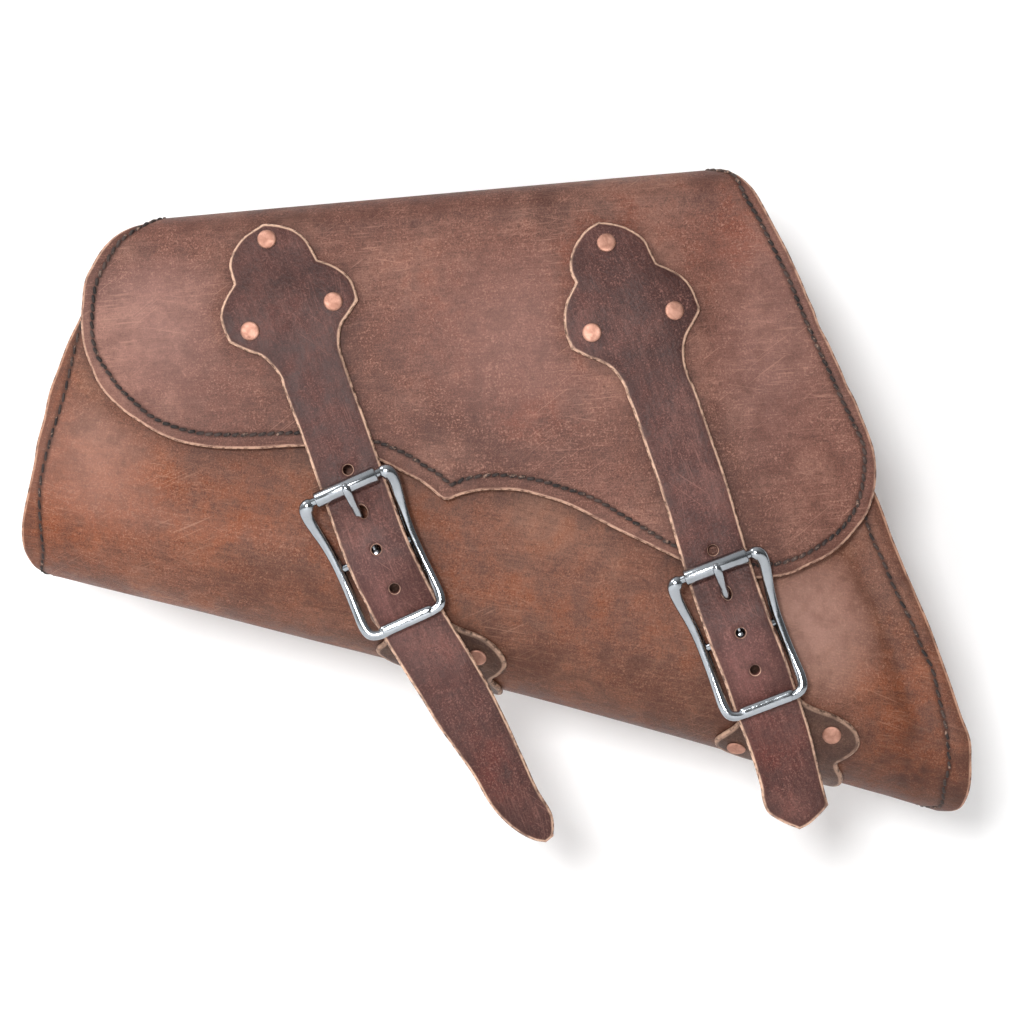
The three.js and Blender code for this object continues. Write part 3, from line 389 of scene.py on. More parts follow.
def pattern(name, outline, fmap, t, spacing, seams=(), holes=(), r=1.0, out=None, groove=0.5, corner=36.0):
    """A leather piece cut to an outline in its own plane, bent by fmap, with a rounded rim."""
    loop = smooth_loop(outline, spacing * 0.75, corner)
    if area2(loop) < 0:
        loop = loop[::-1]
    true = loop
    loop = inset(loop, r * 0.9)
    hl = []
    for h in holes:
        h = np.asarray(h)
        c = h.mean(0)
        h = c + (h - c) * (1 + r * 0.9 / np.linalg.norm(h - c, axis=1).mean())
        hl.append(h[::-1] if area2(h) > 0 else h)
    lo, hi = loop.min(0), loop.max(0)
    xs = np.arange(lo[0], hi[0] + spacing, spacing)
    zs = np.arange(lo[1], hi[1] + spacing, spacing * 0.866)
    gx, gz = np.meshgrid(xs, zs)
    gx = gx + (np.arange(len(zs)) % 2)[:, None] * spacing / 2
    pts = np.stack([gx.ravel(), gz.ravel()], 1)
    pts = pts[inside(pts, loop)]
    rims = np.vstack([dense(loop, 1.0, True)] + [dense(h, 0.5, True) for h in hl])
    pts = pts[nearest(pts, rims) > spacing * 0.55]
    for h in hl:
        pts = pts[~inside(pts, h)]
    extra = []
    seam_pts = [dense(s, 0.5) for s in seams]
    if seams:
        allseam = np.vstack(seam_pts)
        pts = pts[nearest(pts, allseam) > 2.4]
        for s in seams:
            s = resample(np.asarray(s, float), 1.6)
            tt = unit(np.gradient(s, axis=0))
            nn = np.stack([-tt[:, 1], tt[:, 0]], 1)
            for o in (-1.5, 0.0, 1.5):
                extra.append(s + nn * o)
        extra = np.vstack(extra)
        extra = extra[inside(extra, loop)]
        extra = extra[nearest(extra, rims) > 0.8]
        keep = np.ones(len(extra), bool)
        pts = np.vstack([pts, extra[keep]])
    verts2, edges = [], []
    for lp in [loop] + hl:
        b = len(verts2)
        verts2 += [tuple(p) for p in lp]
        edges += [(b + i, b + (i + 1) % len(lp)) for i in range(len(lp))]
    verts2 += [tuple(p) for p in pts]
    res = delaunay_2d_cdt([Vector(p) for p in verts2], edges, [], 0, 1e-4)
    P2 = np.array([tuple(v) for v in res[0]])
    F = np.array([f for f in res[2] if len(f) == 3])
    c = P2[F].mean(1)
    ok = inside(c, loop)
    for h in hl:
        ok &= ~inside(c, h)
    F = F[ok]
    e1, e2 = P2[F[:, 1]] - P2[F[:, 0]], P2[F[:, 2]] - P2[F[:, 0]]
    cr = e1[:, 0] * e2[:, 1] - e1[:, 1] * e2[:, 0]
    F = F[np.abs(cr) > 1e-6]
    cr = cr[np.abs(cr) > 1e-6]
    F[cr < 0] = F[cr < 0][:, ::-1]
    used = np.unique(F)
    remap = -np.ones(len(P2), int)
    remap[used] = np.arange(len(used))
    P2, F = P2[used], remap[F]
    V = fmap(P2[:, 0], P2[:, 1])
    N = normals_of(V, F)
    want = out(P2[:, 0], P2[:, 1]) if callable(out) else np.array([0, -1.0, 0])
    if (N * want).sum(-1).mean() < 0:
        F, N = F[:, ::-1], -N
    ed = np.minimum(nearest(P2, dense(true, 0.6, True)), 12)
    if hl:
        to_hole = nearest(P2, np.vstack([dense(h, 0.4, True) for h in hl]))
        ed = np.where(to_hole < 0.06, HOLE_RIM, np.minimum(ed, 1.6 + 4.0 * to_hole))
    sd = np.minimum(nearest(P2, np.vstack(seam_pts)), 9) if seams else np.full(len(P2), 9.0)
    return thicken(name, V, [F], N, t, r, ed, sd, groove)


def grid_sheet(name, G, t, r, want, mask=None, rim_w=None, groove=0.0, seam_d=None):
    """The same for a grid of points G[rows][cols]; mask drops cells."""
    G = np.asarray(G, float)
    Rn, C = G.shape[:2]
    V = G.reshape(-1, 3)
    idx = np.arange(Rn * C).reshape(Rn, C)
    q = np.stack([idx[:-1, :-1], idx[:-1, 1:], idx[1:, 1:], idx[1:, :-1]], -1).reshape(-1, 4)
    if mask is not None:
        q = q[mask.reshape(-1)]
    N = normals_of(V, q)
    if (N * np.asarray(want).reshape(-1, 3)).sum(-1).mean() < 0:
        q, N = q[:, ::-1], -N
    border = np.vstack([G[0], G[-1], G[:, 0], G[:, -1]])
    ed = np.minimum(nearest(V, border), 12)
    sd = np.full(len(V), 9.0) if seam_d is None else seam_d
    return thicken(name, V, [q], N, t, r, ed, sd, groove)


def sweep(P, a, b, ref, n=20, power=1.0, closed=False, caps=True):
    """A swept bar as (verts, faces): half sizes a (square to ref) and b (along ref)."""
    P, a, b = np.asarray(P, float), np.asarray(a, float), np.asarray(b, float)
    T = unit(np.gradient(P, axis=0)) if not closed else unit(np.roll(P, -1, 0) - np.roll(P, 1, 0))
    ref = np.asarray(ref, float)
    B = unit(ref - (T @ ref)[:, None] * T)
    A = np.cross(T, B)
    ph = 2 * math.pi * (np.arange(n) + 0.5) / n
    c, d = np.cos(ph), np.sin(ph)
    c, d = np.sign(c) * np.abs(c) ** power, np.sign(d) * np.abs(d) ** power
    V = P[:, None] + A[:, None] * (a[:, None] * c)[..., None] + B[:, None] * (b[:, None] * d)[..., None]
    m = len(P)
    F = []
    for i in range(m if closed else m - 1):
        j = (i + 1) % m
        for k in range(n):
            q = (k + 1) % n
            F.append((i * n + k, i * n + q, j * n + q, j * n + k))
    V = V.reshape(-1, 3)
    tri = []
    if caps and not closed:
        V = np.vstack([V, P[0], P[-1]])
        for k in range(n):
            q = (k + 1) % n
            tri.append((m * n, q, k))
            tri.append((m * n + 1, (m - 1) * n + k, (m - 1) * n + q))
    V0 = V[np.array(F)]
    vol = np.einsum("ij,ij->i", V0[:, 0], np.cross(V0[:, 1], V0[:, 2])).sum() + np.einsum("ij,ij->i", V0[:, 0], np.cross(V0[:, 2], V0[:, 3])).sum()
    F, tri = np.array(F), np.array(tri).reshape(-1, 3)
    if vol < 0:
        F, tri = F[:, ::-1], tri[:, ::-1]
    return V, F, tri


def lathe(profile, centre, axis, n=32, wobble=0.0, seed=0):
    """(verts, faces) of a turned body: profile rows (distance along axis, radius), closed on the axis or on itself."""
    axis = unit(axis)
    ref = np.array([0, 0, 1.0]) if abs(axis[2]) < 0.9 else np.array([1.0, 0, 0])
    X = unit(np.cross(ref, axis))
    Y = np.cross(axis, X)
    ph = 2 * math.pi * np.arange(n) / n
    prof = np.asarray(profile, float)
    g = np.random.default_rng(seed)
    V = centre + prof[:, 0][:, None, None] * axis + prof[:, 1][:, None, None] * (np.cos(ph)[:, None] * X + np.sin(ph)[:, None] * Y)
    V = V.reshape(-1, 3)
    F = []
    m = len(prof)
    for i in range(m - 1):
        for k in range(n):
            q = (k + 1) % n
            F.append((i * n + k, (i + 1) * n + k, (i + 1) * n + q, i * n + q))
    return V, np.array(F), np.zeros((0, 3), int)


def join(name, parts, merge=0.01):
    """One object from several (verts, quads, tris)."""
    Vs, Fs, base = [], [], 0
    for V, Q, Tn in parts:
        Vs.append(V)
        if len(Q):
            Fs.append(np.asarray(Q) + base)
        if len(Tn):
            Fs.append(np.asarray(Tn) + base)
        base += len(V)
    ob = make(name, np.vstack(Vs), Fs)
    import bmesh
    bm = bmesh.new()
    bm.from_mesh(ob.data)
    bmesh.ops.remove_doubles(bm, verts=bm.verts, dist=1e-6)
    bmesh.ops.dissolve_degenerate(bm, edges=bm.edges, dist=1e-7)
    bmesh.ops.recalc_face_normals(bm, faces=bm.faces)
    bm.to_mesh(ob.data)
    bm.free()
    ob.data.polygons.foreach_set("use_smooth", [True] * len(ob.data.polygons))
    return ob


# ------------------------------------------------------------------ materials


class Nodes:
    def __init__(self, name):
        self.mat = bpy.data.materials.new(name)
        self.mat.use_nodes = True
        self.t = self.mat.node_tree
        self.t.nodes.clear()
        self.out = self.t.nodes.new("ShaderNodeOutputMaterial")
        self.bsdf = self.t.nodes.new("ShaderNodeBsdfPrincipled")
        self.t.links.new(self.bsdf.outputs[0], self.out.inputs[0])
        self.co = self.t.nodes.new("ShaderNodeTexCoord").outputs["Object"]

    def link(self, a, b):
        self.t.links.new(a, b)

    def put(self, sock, v):
        if isinstance(v, bpy.types.NodeSocket):
            self.link(v, sock)
        elif hasattr(v, "__len__"):
            sock.default_value = tuple(v) + ((1,) if len(v) == 3 and sock.type == "RGBA" else ())
        else:
            sock.default_value = v

    def noise(self, scale, detail=4, rough=0.55, distort=0.0, stretch=None, kind="FBM", co=None, lac=2.0):
        n = self.t.nodes.new("ShaderNodeTexNoise")
        n.noise_type = kind
        n.inputs["Scale"].default_value = scale
        n.inputs["Detail"].default_value = detail
        n.inputs["Roughness"].default_value = rough
        n.inputs["Distortion"].default_value = distort
        n.inputs["Lacunarity"].default_value = lac
        self.link(self.warp(stretch, co), n.inputs["Vector"])
        return n.outputs["Fac"]

    def warp(self, stretch, co=None, rot=(0, 0, 0)):
        if stretch is None:
            return co or self.co
        m = self.t.nodes.new("ShaderNodeMapping")
        m.inputs["Scale"].default_value = stretch
        m.inputs["Rotation"].default_value = rot
        self.link(co or self.co, m.inputs["Vector"])
        return m.outputs[0]

    def voronoi(self, scale, feature="F1", rand=1.0, stretch=None, co=None):
        n = self.t.nodes.new("ShaderNodeTexVoronoi")
        n.feature = feature
        n.inputs["Scale"].default_value = scale
        n.inputs["Randomness"].default_value = rand
        self.link(self.warp(stretch, co), n.inputs["Vector"])
        return n.outputs["Distance"]

    def math(self, op, a, b=0.0, clamp=False):
        n = self.t.nodes.new("ShaderNodeMath")
        n.operation = op
        n.use_clamp = clamp
        self.put(n.inputs[0], a)
        self.put(n.inputs[1], b)
        return n.outputs[0]

    def ramp(self, v, lo, hi, a=0.0, b=1.0):
        n = self.t.nodes.new("ShaderNodeMapRange")
        n.interpolation_type = "SMOOTHSTEP"
        for k, x in zip(("Value", "From Min", "From Max", "To Min", "To Max"), (v, lo, hi, a, b)):
            self.put(n.inputs[k], x)
        return n.outputs[0]

    def mix(self, fac, a, b, mode="MIX"):
        n = self.t.nodes.new("ShaderNodeMix")
        n.data_type = "RGBA"
        n.blend_type = mode
        self.put(n.inputs[0], fac)
        self.put(n.inputs[6], a)
        self.put(n.inputs[7], b)
        return n.outputs[2]

    def attr(self, name):
        n = self.t.nodes.new("ShaderNodeAttribute")
        n.attribute_name = name
        return n.outputs["Fac"]

    def bump(self, h, dist, strength=1.0, normal=None):
        n = self.t.nodes.new("ShaderNodeBump")
        n.inputs["Strength"].default_value = strength
        n.inputs["Distance"].default_value = dist
        self.link(h, n.inputs["Height"])
        if normal is not None:
            self.link(normal, n.inputs["Normal"])
        return n.outputs[0]

    def set(self, **kw):
        for k, v in kw.items():
            self.put(self.bsdf.inputs[k.replace("_", " ")], v)
        return self.mat


def srgb(*c):
    return tuple(((v / 255) / 12.92 if v / 255 <= 0.04045 else ((v / 255 + 0.055) / 1.055) ** 2.4) for v in c)


def leather(name, base, deep, light, warm, edge_col, flesh_col, grain_deg=-9.0, patch=1.0, rough=0.56, seed=0.0, rim=1.0, tint=(0.7, 0.6, 0.52), cross=0.45, streak=0.22, broad=0.45):
    """Waxed cowhide: soft colour zones, mottle, fine speckle, brushed scratches, pale worn edges, and painted shade
    from the 'shade' attribute.
    """
    n = Nodes(name)
    off = n.t.nodes.new("ShaderNodeVectorMath")
    off.operation = "ADD"
    n.link(n.co, off.inputs[0])
    off.inputs[1].default_value = (seed, seed * 1.7, seed * 0.6)
    co = off.outputs[0]
    turn = lambda deg: n.warp((1, 1, 1), co, (0, math.radians(deg), 0))
    big = n.noise(11, 3, 0.5, 0.15, co=co)
    mid = n.noise(34, 5, 0.6, 0.25, co=co)
    med = n.noise(95, 5, 0.65, 0.3, co=co)
    fine = n.noise(420, 4, 0.65, 0.0, co=co)
    speck = n.noise(1150, 3, 0.6, 0.0, co=co)
    darker = tuple(c * 0.5 for c in deep)
    huge = n.noise(6.5, 3, 0.55, 0.2, co=co)
    col = n.mix(n.ramp(big, 0.38, 0.64, 0.0, 0.66), base, deep)
    col = n.mix(n.ramp(huge, 0.54, 0.66, 0.0, broad), col, light)
    col = n.mix(n.math("MULTIPLY", n.ramp(mid, 0.44, 0.72), 0.40), col, light)
    # warm zones, where the finish has rubbed through
    wz = n.math("ADD", n.attr("warm"), n.math("MULTIPLY", n.math("SUBTRACT", mid, 0.5), 1.1))
    wz = n.math("ADD", wz, n.math("MULTIPLY", n.math("SUBTRACT", med, 0.5), 0.8))
    col = n.mix(n.ramp(wz, 0.28, 0.90, 0.0, 0.92), col, warm)
    # mottle
    col = n.mix(n.ramp(med, 0.54, 0.34, 0.0, 0.30), col, deep)
    col = n.mix(n.ramp(fine, 0.50, 0.34, 0.0, 0.30), col, darker)
    grain = n.noise(1900, 4, 0.7, 0.0, co=co)
    col = n.mix(n.ramp(grain, 0.52, 0.36, 0.0, 0.50), col, darker)
    col = n.mix(n.ramp(grain, 0.54, 0.68, 0.0, 0.34), col, light)
    col = n.mix(n.math("MULTIPLY", n.ramp(speck, 0.52, 0.66), n.ramp(med, 0.36, 0.60, 0.10, 0.62 * patch)), col, light)
    # brushed scratches across and along the hide, and a few long ones
    zone = n.ramp(n.noise(17, 3, 0.5, co=co), 0.42, 0.62, 0.15, 1.0)
    s1 = n.ramp(n.noise(60, 3, 0.6, stretch=(1, 1, 24), co=turn(grain_deg)), 0.55, 0.72)
    s2 = n.ramp(n.noise(70, 3, 0.6, stretch=(22, 1, 1), co=turn(grain_deg + 4)), 0.58, 0.76)
    s3 = n.ramp(n.noise(34, 2, 0.5, stretch=(1, 1, 42), co=turn(grain_deg + 33)), 0.655, 0.70)
    s4 = n.ramp(n.noise(30, 2, 0.5, stretch=(1, 1, 60), co=turn(grain_deg - 14)), 0.66, 0.70)
    sc = n.math("MAXIMUM", n.math("MAXIMUM", s1, n.math("MULTIPLY", s2, cross)), n.math("MAXIMUM", s3, s4))
    col = n.mix(n.math("MULTIPLY", n.math("MULTIPLY", sc, zone), 0.62 * patch), col, light)
    d1 = n.ramp(n.noise(52, 3, 0.6, stretch=(1, 1, 20), co=turn(grain_deg - 2)), 0.46, 0.32)
    d2 = n.ramp(n.noise(64, 3, 0.6, stretch=(18, 1, 1), co=turn(grain_deg + 3)), 0.44, 0.32)
    col = n.mix(n.math("MULTIPLY", n.math("MAXIMUM", d1, n.math("MULTIPLY", d2, cross)), 0.26), col, deep)
    st = n.noise(85, 5, 0.62, 0.6, stretch=(1, 1, 7), co=turn(grain_deg))
    col = n.mix(n.math("MULTIPLY", n.ramp(st, 0.52, 0.34), streak * 0.7), col, darker)
    col = n.mix(n.math("MULTIPLY", n.ramp(st, 0.53, 0.70), streak * 0.6), col, light)
    # painted shade: where the 'shade' attribute is positive the colour darkens (painted shade and darker tone); where
    # it is negative it turns to a lighter rose tone
    sh = n.attr("shade")
    rose = (light[0] * 0.98, light[1] * 1.05, light[2] * 1.25)
    col = n.mix(n.math("MULTIPLY", n.math("MULTIPLY", sh, -1.0, True), n.ramp(med, 0.3, 0.65, 0.6, 1.0)), col, rose)
    sh = n.math("MAXIMUM", sh, 0.0)
    col = n.mix(n.math("MULTIPLY", sh, n.ramp(med, 0.3, 0.65, 1.0, 0.6)), col, darker)
    col = n.mix(1.0, col, tint, "MULTIPLY")
    deep = tuple(v * t for v, t in zip(deep, tint))
    flesh_col = tuple(v * t for v, t in zip(flesh_col, tint))
    edge_col = tuple(v * t for v, t in zip(edge_col, (0.86, 0.80, 0.78)))
    # worn rim, cut edge and the darker run of the stitching
    ed = n.attr("edge")
    col = n.mix(n.math("MULTIPLY", n.ramp(ed, 7.0, 2.6), 0.30), col, deep)
    wear = n.math("MULTIPLY", n.ramp(ed, 1.5, 0.6), n.ramp(med, 0.34, 0.58, 0.25, 1.0))
    col = n.mix(n.math("MULTIPLY", wear, 0.85 * rim), col, edge_col)
    cut = n.ramp(ed, 0.3, -0.4)
    col = n.mix(n.math("MULTIPLY", cut, 0.8), col, n.mix(n.ramp(fine, 0.35, 0.62), deep, edge_col))
    se = n.attr("seam")
    col = n.mix(n.math("MULTIPLY", n.ramp(se, 2.3, 0.3), 0.70), col, tuple(c * 0.55 for c in deep))
    fl = n.ramp(n.attr("flesh"), 0.55, 0.95)
    col = n.mix(fl, col, n.mix(n.ramp(fine, 0.35, 0.7), flesh_col, deep))
    # grain: pores, pebbles and soft creases
    peb = n.voronoi(700, co=co)
    b1 = n.bump(n.ramp(peb, 0.0, 0.9), 0.00018, 0.35)
    b2 = n.bump(grain, 0.00022, 0.5, n.bump(fine, 0.00035, 0.45, b1))
    b3 = n.bump(mid, 0.0022, 0.35, b2)
    b4 = n.bump(sc, 0.00012, 0.35, b3)
    rg = n.ramp(med, 0.3, 0.75, rough - 0.07, rough + 0.12)
    rg = n.math("ADD", rg, n.math("MULTIPLY", fl, 0.3), clamp=True)
    spec = n.math("MULTIPLY", n.math("SUBTRACT", 1.0, fl), 0.26)
    m = n.set(Base_Color=col, Roughness=rg, Normal=b4)
    n.put(n.bsdf.inputs["Specular IOR Level"], spec)
    return m


M_BODY = leather("body_leather", srgb(140, 97, 84), srgb(90, 57, 47), srgb(202, 164, 150), srgb(152, 86, 51), srgb(214, 172, 146), srgb(118, 84, 62), -9, 0.72, 0.55, 0.0, 0.8, (0.70, 0.575, 0.465))
M_LID = leather("lid_leather", srgb(140, 100, 90), srgb(92, 60, 52), srgb(202, 162, 148), srgb(140, 72, 48), srgb(220, 182, 158), srgb(118, 84, 62), 5, 1.0, 0.56, 3.1, 0.85, (0.65, 0.535, 0.475))
M_LINING = leather("lining_leather", srgb(124, 90, 68), srgb(92, 64, 48), srgb(146, 108, 82), srgb(130, 88, 62), srgb(150, 112, 86), srgb(118, 84, 62), 0, 0.6, 0.75, 5.0, 0.4)
M_STRAP = leather("strap_leather", srgb(102, 68, 62), srgb(62, 39, 36), srgb(172, 136, 126), srgb(112, 56, 46), srgb(238, 202, 176), srgb(110, 80, 60), -68, 0.9, 0.46, 7.3, 1.0, (0.69, 0.525, 0.50), 0.10, 0.26, 0.05)
M_CHAPE = leather("chape_leather", srgb(94, 68, 57), srgb(58, 41, 34), srgb(142, 116, 98), srgb(96, 62, 46), srgb(196, 164, 142), srgb(104, 76, 58), -20, 0.7, 0.52, 9.7, 0.75, (0.82, 0.71, 0.69), 0.2)


def thread():
    n = Nodes("thread")
    w = n.noise(900, 2, 0.5)
    f = n.noise(90, 3, 0.5)
    col = n.mix(n.ramp(f, 0.35, 0.7), srgb(30, 22, 20), srgb(72, 56, 50))
    # pale flecks: painted highlights on the twisted strands
    col = n.mix(n.ramp(n.noise(300, 4, 0.7, 0.3), 0.56, 0.66, 0.0, 0.75), col, srgb(158, 126, 108))
    return n.set(Base_Color=col, Roughness=0.72, Normal=n.bump(w, 0.0003, 0.7))


def metal(name, a, b, rough, grime, scale=60):
    n = Nodes(name)
    f = n.noise(scale, 5, 0.6, 0.4)
    s = n.noise(420, 3, 0.6, stretch=(1, 1, 5))
    g = n.ramp(n.noise(150, 5, 0.7, 1.0), 0.55, 0.8)
    col = n.mix(n.ramp(f, 0.3, 0.7), a, b)
    col = n.mix(n.math("MULTIPLY", g, grime), col, tuple(c * 0.35 for c in b))
    rg = n.math("ADD", n.ramp(f, 0.3, 0.7, rough, rough + 0.08), n.math("MULTIPLY", g, 0.15))
    h = n.math("ADD", n.math("MULTIPLY", f, 1.0), n.math("MULTIPLY", s, 0.25))
    return n.set(Base_Color=col, Metallic=1.0, Roughness=rg, Normal=n.bump(h, 0.0005, 0.25))


M_THREAD = thread()
M_NICKEL = metal("nickel", (0.42, 0.445, 0.475), (0.33, 0.352, 0.378), 0.12, 0.30)
M_COPPER = metal("copper", srgb(198, 152, 134), srgb(166, 122, 105), 0.54, 0.40, 260)


LID_EDGE = dense(np.asarray(LID_OUTLINE), 1.5)
STRAP_EDGE = {}
for _s in ("left", "right"):
    _c = dense(resample(np.asarray(STRAP_LINE[_s]), 4.0), 1.0)
    _t = unit(np.gradient(_c, axis=0))
    _n = np.stack([-_t[:, 1], _t[:, 0]], 1)
    STRAP_EDGE[_s] = np.vstack([dense(TAB[_s], 1.5, True), _c + _n * 15, _c - _n * 15])


def blob(x, z, cx, cz, rx, rz, deg=0.0):
    c, q = math.cos(math.radians(deg)), math.sin(math.radians(deg))
    dx, dz = x - cx, z - cz
    return np.exp(-(((dx * c + dz * q) / rx) ** 2) - ((-dx * q + dz * c) / rz) ** 2)


def paint(ob, fn):
    """Soft warm zones by place, and painted shade with darker and lighter tone zones, as the vertex attributes 'warm'
    and 'shade'.
    """
    me = ob.data
    co = np.empty(len(me.vertices) * 3)
    me.vertices.foreach_get("co", co)
    co = co.reshape(-1, 3) * 1000
    w, d = fn(co[:, 0], co[:, 2], co[:, 1])
    for key, val in (("warm", w), ("shade", d)):
        at = me.attributes.new(key, "FLOAT", "POINT")
        at.data.foreach_set("value", np.asarray(val + 0 * co[:, 0], np.float32))


def body_warmth_and_painted_shade(x, z, y):
    w = 0.34 + 0.34 * blob(x, z, -190, -20, 34, 30) + 0.30 * blob(x, z, -120, -20, 75, 24, -14) + 0.22 * blob(x, z, -25, -35, 40, 22, -14)
    w = w + 0.40 * blob(x, z, 195, -112, 26, 46, 20) + 0.22 * blob(x, z, 60, -70, 60, 14, -14) - 0.30 * blob(x, z, -130, 45, 60, 22) - 0.40 * blob(x, z, 150, -60, 34, 50, 20) + 0.3 * blob(x, z, -196, 40, 10, 60, 0)
    s, a = xz_to_sa(x, z)
    # 'shade': painted shade where the bottom rolls under, stronger to the right, and a darker tone blob at the upper
    # left
    d = 0.50 * smooth((a + 14) / 44) * (y < -55) * (0.35 + 0.65 * smooth((x + 150) / 80)) + 0.25 * blob(x, z, -150, 40, 60, 18, 0)
    dr = (right_x(z) - x) * 0.9
    # painted shade along the crease inside the right seam, and darker tone blobs at the centre and lower right
    d = d + 0.20 * np.exp(-(((dr - 19) / 4.5) ** 2)) * smooth((60 - z) / 40) * (y < -55) + 0.22 * blob(x, z, 34, -58, 70, 26, -14) + 0.30 * blob(x, z, 192, -122, 26, 36, 20) + 0.14 * blob(x, z, -110, -8, 50, 26, -14) * (y < -55)
    # painted shadow on the body just below the lid's edge
    d = d + 0.45 * np.exp(-nearest(np.stack([x, z], 1), LID_EDGE) / 5.0) * (y < -70)
    # painted shadow on the body beside the billets
    for side in ("left", "right"):
        d = d + 0.40 * np.exp(-nearest(np.stack([x, z], 1), STRAP_EDGE[side]) / 3.5) * (y < -70)
    d = d - 0.45 * blob(x, z, -178, 12, 30, 40) - 0.80 * blob(x, z, 152, -66, 26, 44, 20) - 0.2 * blob(x, z, -110, -30, 60, 10, -12) - 0.25 * blob(x, z, -60, -72, 60, 8, -14)
    return w + 0.15 * smooth((y + 60) / 40), np.clip(d, -0.8, 0.9)


def warm_strap(x, z, y):
    d = 0.55 * blob(x, z, -97, 84, 34, 34, 0) + 0.35 * blob(x, z, -68, 36, 26, 34, 0) + 0.12 * blob(x, z, 92, 20, 24, 40, 0)
    d = d - 0.25 * blob(x, z, -52, -66, 20, 26, 0) - 0.25 * blob(x, z, 118, -92, 20, 22, 0)
    return 0.30 + 0.35 * blob(x, z, 4, -142, 16, 22, 0) + 0.35 * blob(x, z, 130, -128, 18, 20, 0) - 0.2 * blob(x, z, 100, 30, 30, 40, 0), d


def lid_warmth_and_painted_shade(x, z, y):
    w = 0.14 + 0.62 * blob(x, z, 60, 90, 26, 40) + 0.42 * blob(x, z, 110, 110, 26, 30) + 0.30 * blob(x, z, -15, 65, 26, 34) + 0.40 * blob(x, z, 22, 25, 26, 14) - 0.25 * blob(x, z, -130, 80, 40, 40) - 0.2 * blob(x, z, 150, 20, 40, 40)
    # 'shade': darker towards the lid's top fold
    d = 0.35 * smooth((z - top_z(x) + 34) / 30)
    # painted shadow on the lid beside the billets
    for side in ("left", "right"):
        d = d + 0.50 * np.exp(-nearest(np.stack([x, z], 1), STRAP_EDGE[side]) / 3.5) * (y < -70)
    d = d - 0.40 * blob(x, z, -150, 71, 34, 40, 0) - 0.3 * blob(x, z, 132, 52, 22, 50, 0) - 0.25 * blob(x, z, 20, 60, 40, 40)
    return w, np.clip(d, -0.8, 0.9)


def dress(ob, mat, body, replaces=()):
    if mat in WARMTH_AND_PAINTED_SHADE:
        paint(ob, WARMTH_AND_PAINTED_SHADE[mat])
    ob.data.materials.clear()
    ob.data.materials.append(mat)
    if body:
        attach(ob, body)
    if replaces:
        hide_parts(*replaces)
    return ob


# ------------------------------------------------------------------ stitches
# for each leather: warm colour zones and the 'shade' attribute (painted shade and tone)
WARMTH_AND_PAINTED_SHADE = {M_BODY: body_warmth_and_painted_shade, M_LID: lid_warmth_and_painted_shade, M_LINING: lambda x, z, y: (0.2, 0.0), M_STRAP: warm_strap, M_CHAPE: lambda x, z, y: (0.25, 0.0)}


def stitches(name, path, fmap, pitch, length, rad, body, out, lift=0.0, slant=0.35):
    """A run of lock stitches along a 2D path on a surface."""
    s = dense(resample(np.asarray(path, float), 3.0), 0.25)
    P = fmap(s[:, 0], s[:, 1])
    d = np.concatenate([[0], np.cumsum(np.linalg.norm(np.diff(P, axis=0), axis=1))])
    n = int(d[-1] / pitch)
    ring, sec = 8, 7
    parts = []
    g = np.random.default_rng(21)
    for k in range(n):
        c = (k + 0.5) * d[-1] / n
        tt = c + length * np.linspace(-0.5, 0.5, sec) * (1 + g.uniform(-0.05, 0.05))
        tt = np.clip(tt, 0, d[-1])
        Q = np.stack([np.interp(tt, d, P[:, i]) for i in range(3)], 1)
        mid = np.interp(c, d, s[:, 0]), np.interp(c, d, s[:, 1])
        o = unit(out(np.array(mid[0]), np.array(mid[1])) if callable(out) else np.asarray(out, float))
        f = np.linspace(-1, 1, sec)
        hgt = lift - 1.0 * np.abs(f) ** 3.2 + 0.10 * np.sin(f * 2.5 + k)
        side = unit(np.cross(o, Q[-1] - Q[0]))
        Q = Q + o * hgt[:, None] + side * (slant * f)[:, None]
        w = rad * (1 - 0.55 * np.abs(f) ** 4)
        parts.append(sweep(Q, w, w * 0.8, o, ring))
    ob = join(name, parts)
    return dress(ob, M_THREAD, body)


# ------------------------------------------------------------------ body
TOP_CUT = 11.0


def body_outline(extra=0.0):
    L = [(x, z) for x, z in BODY_LEFT[:-1]]
    Rr = [(x, z) for x, z in BODY_RIGHT[:-1]]
    left = [tuple(float(v) for v in xz_to_sa(x, z)) for x, z in L]
    right = [tuple(float(v) for v in xz_to_sa(x, z)) for x, z in Rr]
    for h in (38, 27, 20, 14, 9, 5, 2.4, 1, 0.25):
        left.append((float(s_left(h)), float(R * math.asin(1 - h / R))))
        right.append((float(s_right(h)), float(R * math.asin(1 - h / R))))
    return left, right


left_sa, right_sa = body_outline()
END_A = QUARTER + (-SEAM_Y - R - BACK - GAP) + 0.2


def cut_top(line, d):
    """Drops the first d mm of a polyline."""
    P = np.asarray(line, float)
    q = dense(P, 0.5)
    acc = np.concatenate([[0], np.cumsum(np.linalg.norm(np.diff(q, axis=0), axis=1))])
    i = int(np.searchsorted(acc, d))
    j = next(k for k in range(len(P)) if np.linalg.norm(P[:k + 1][1:] - P[:k + 1][:-1], axis=1).sum() > d + 2)
    return [tuple(q[i])] + [tuple(p) for p in P[j:]]


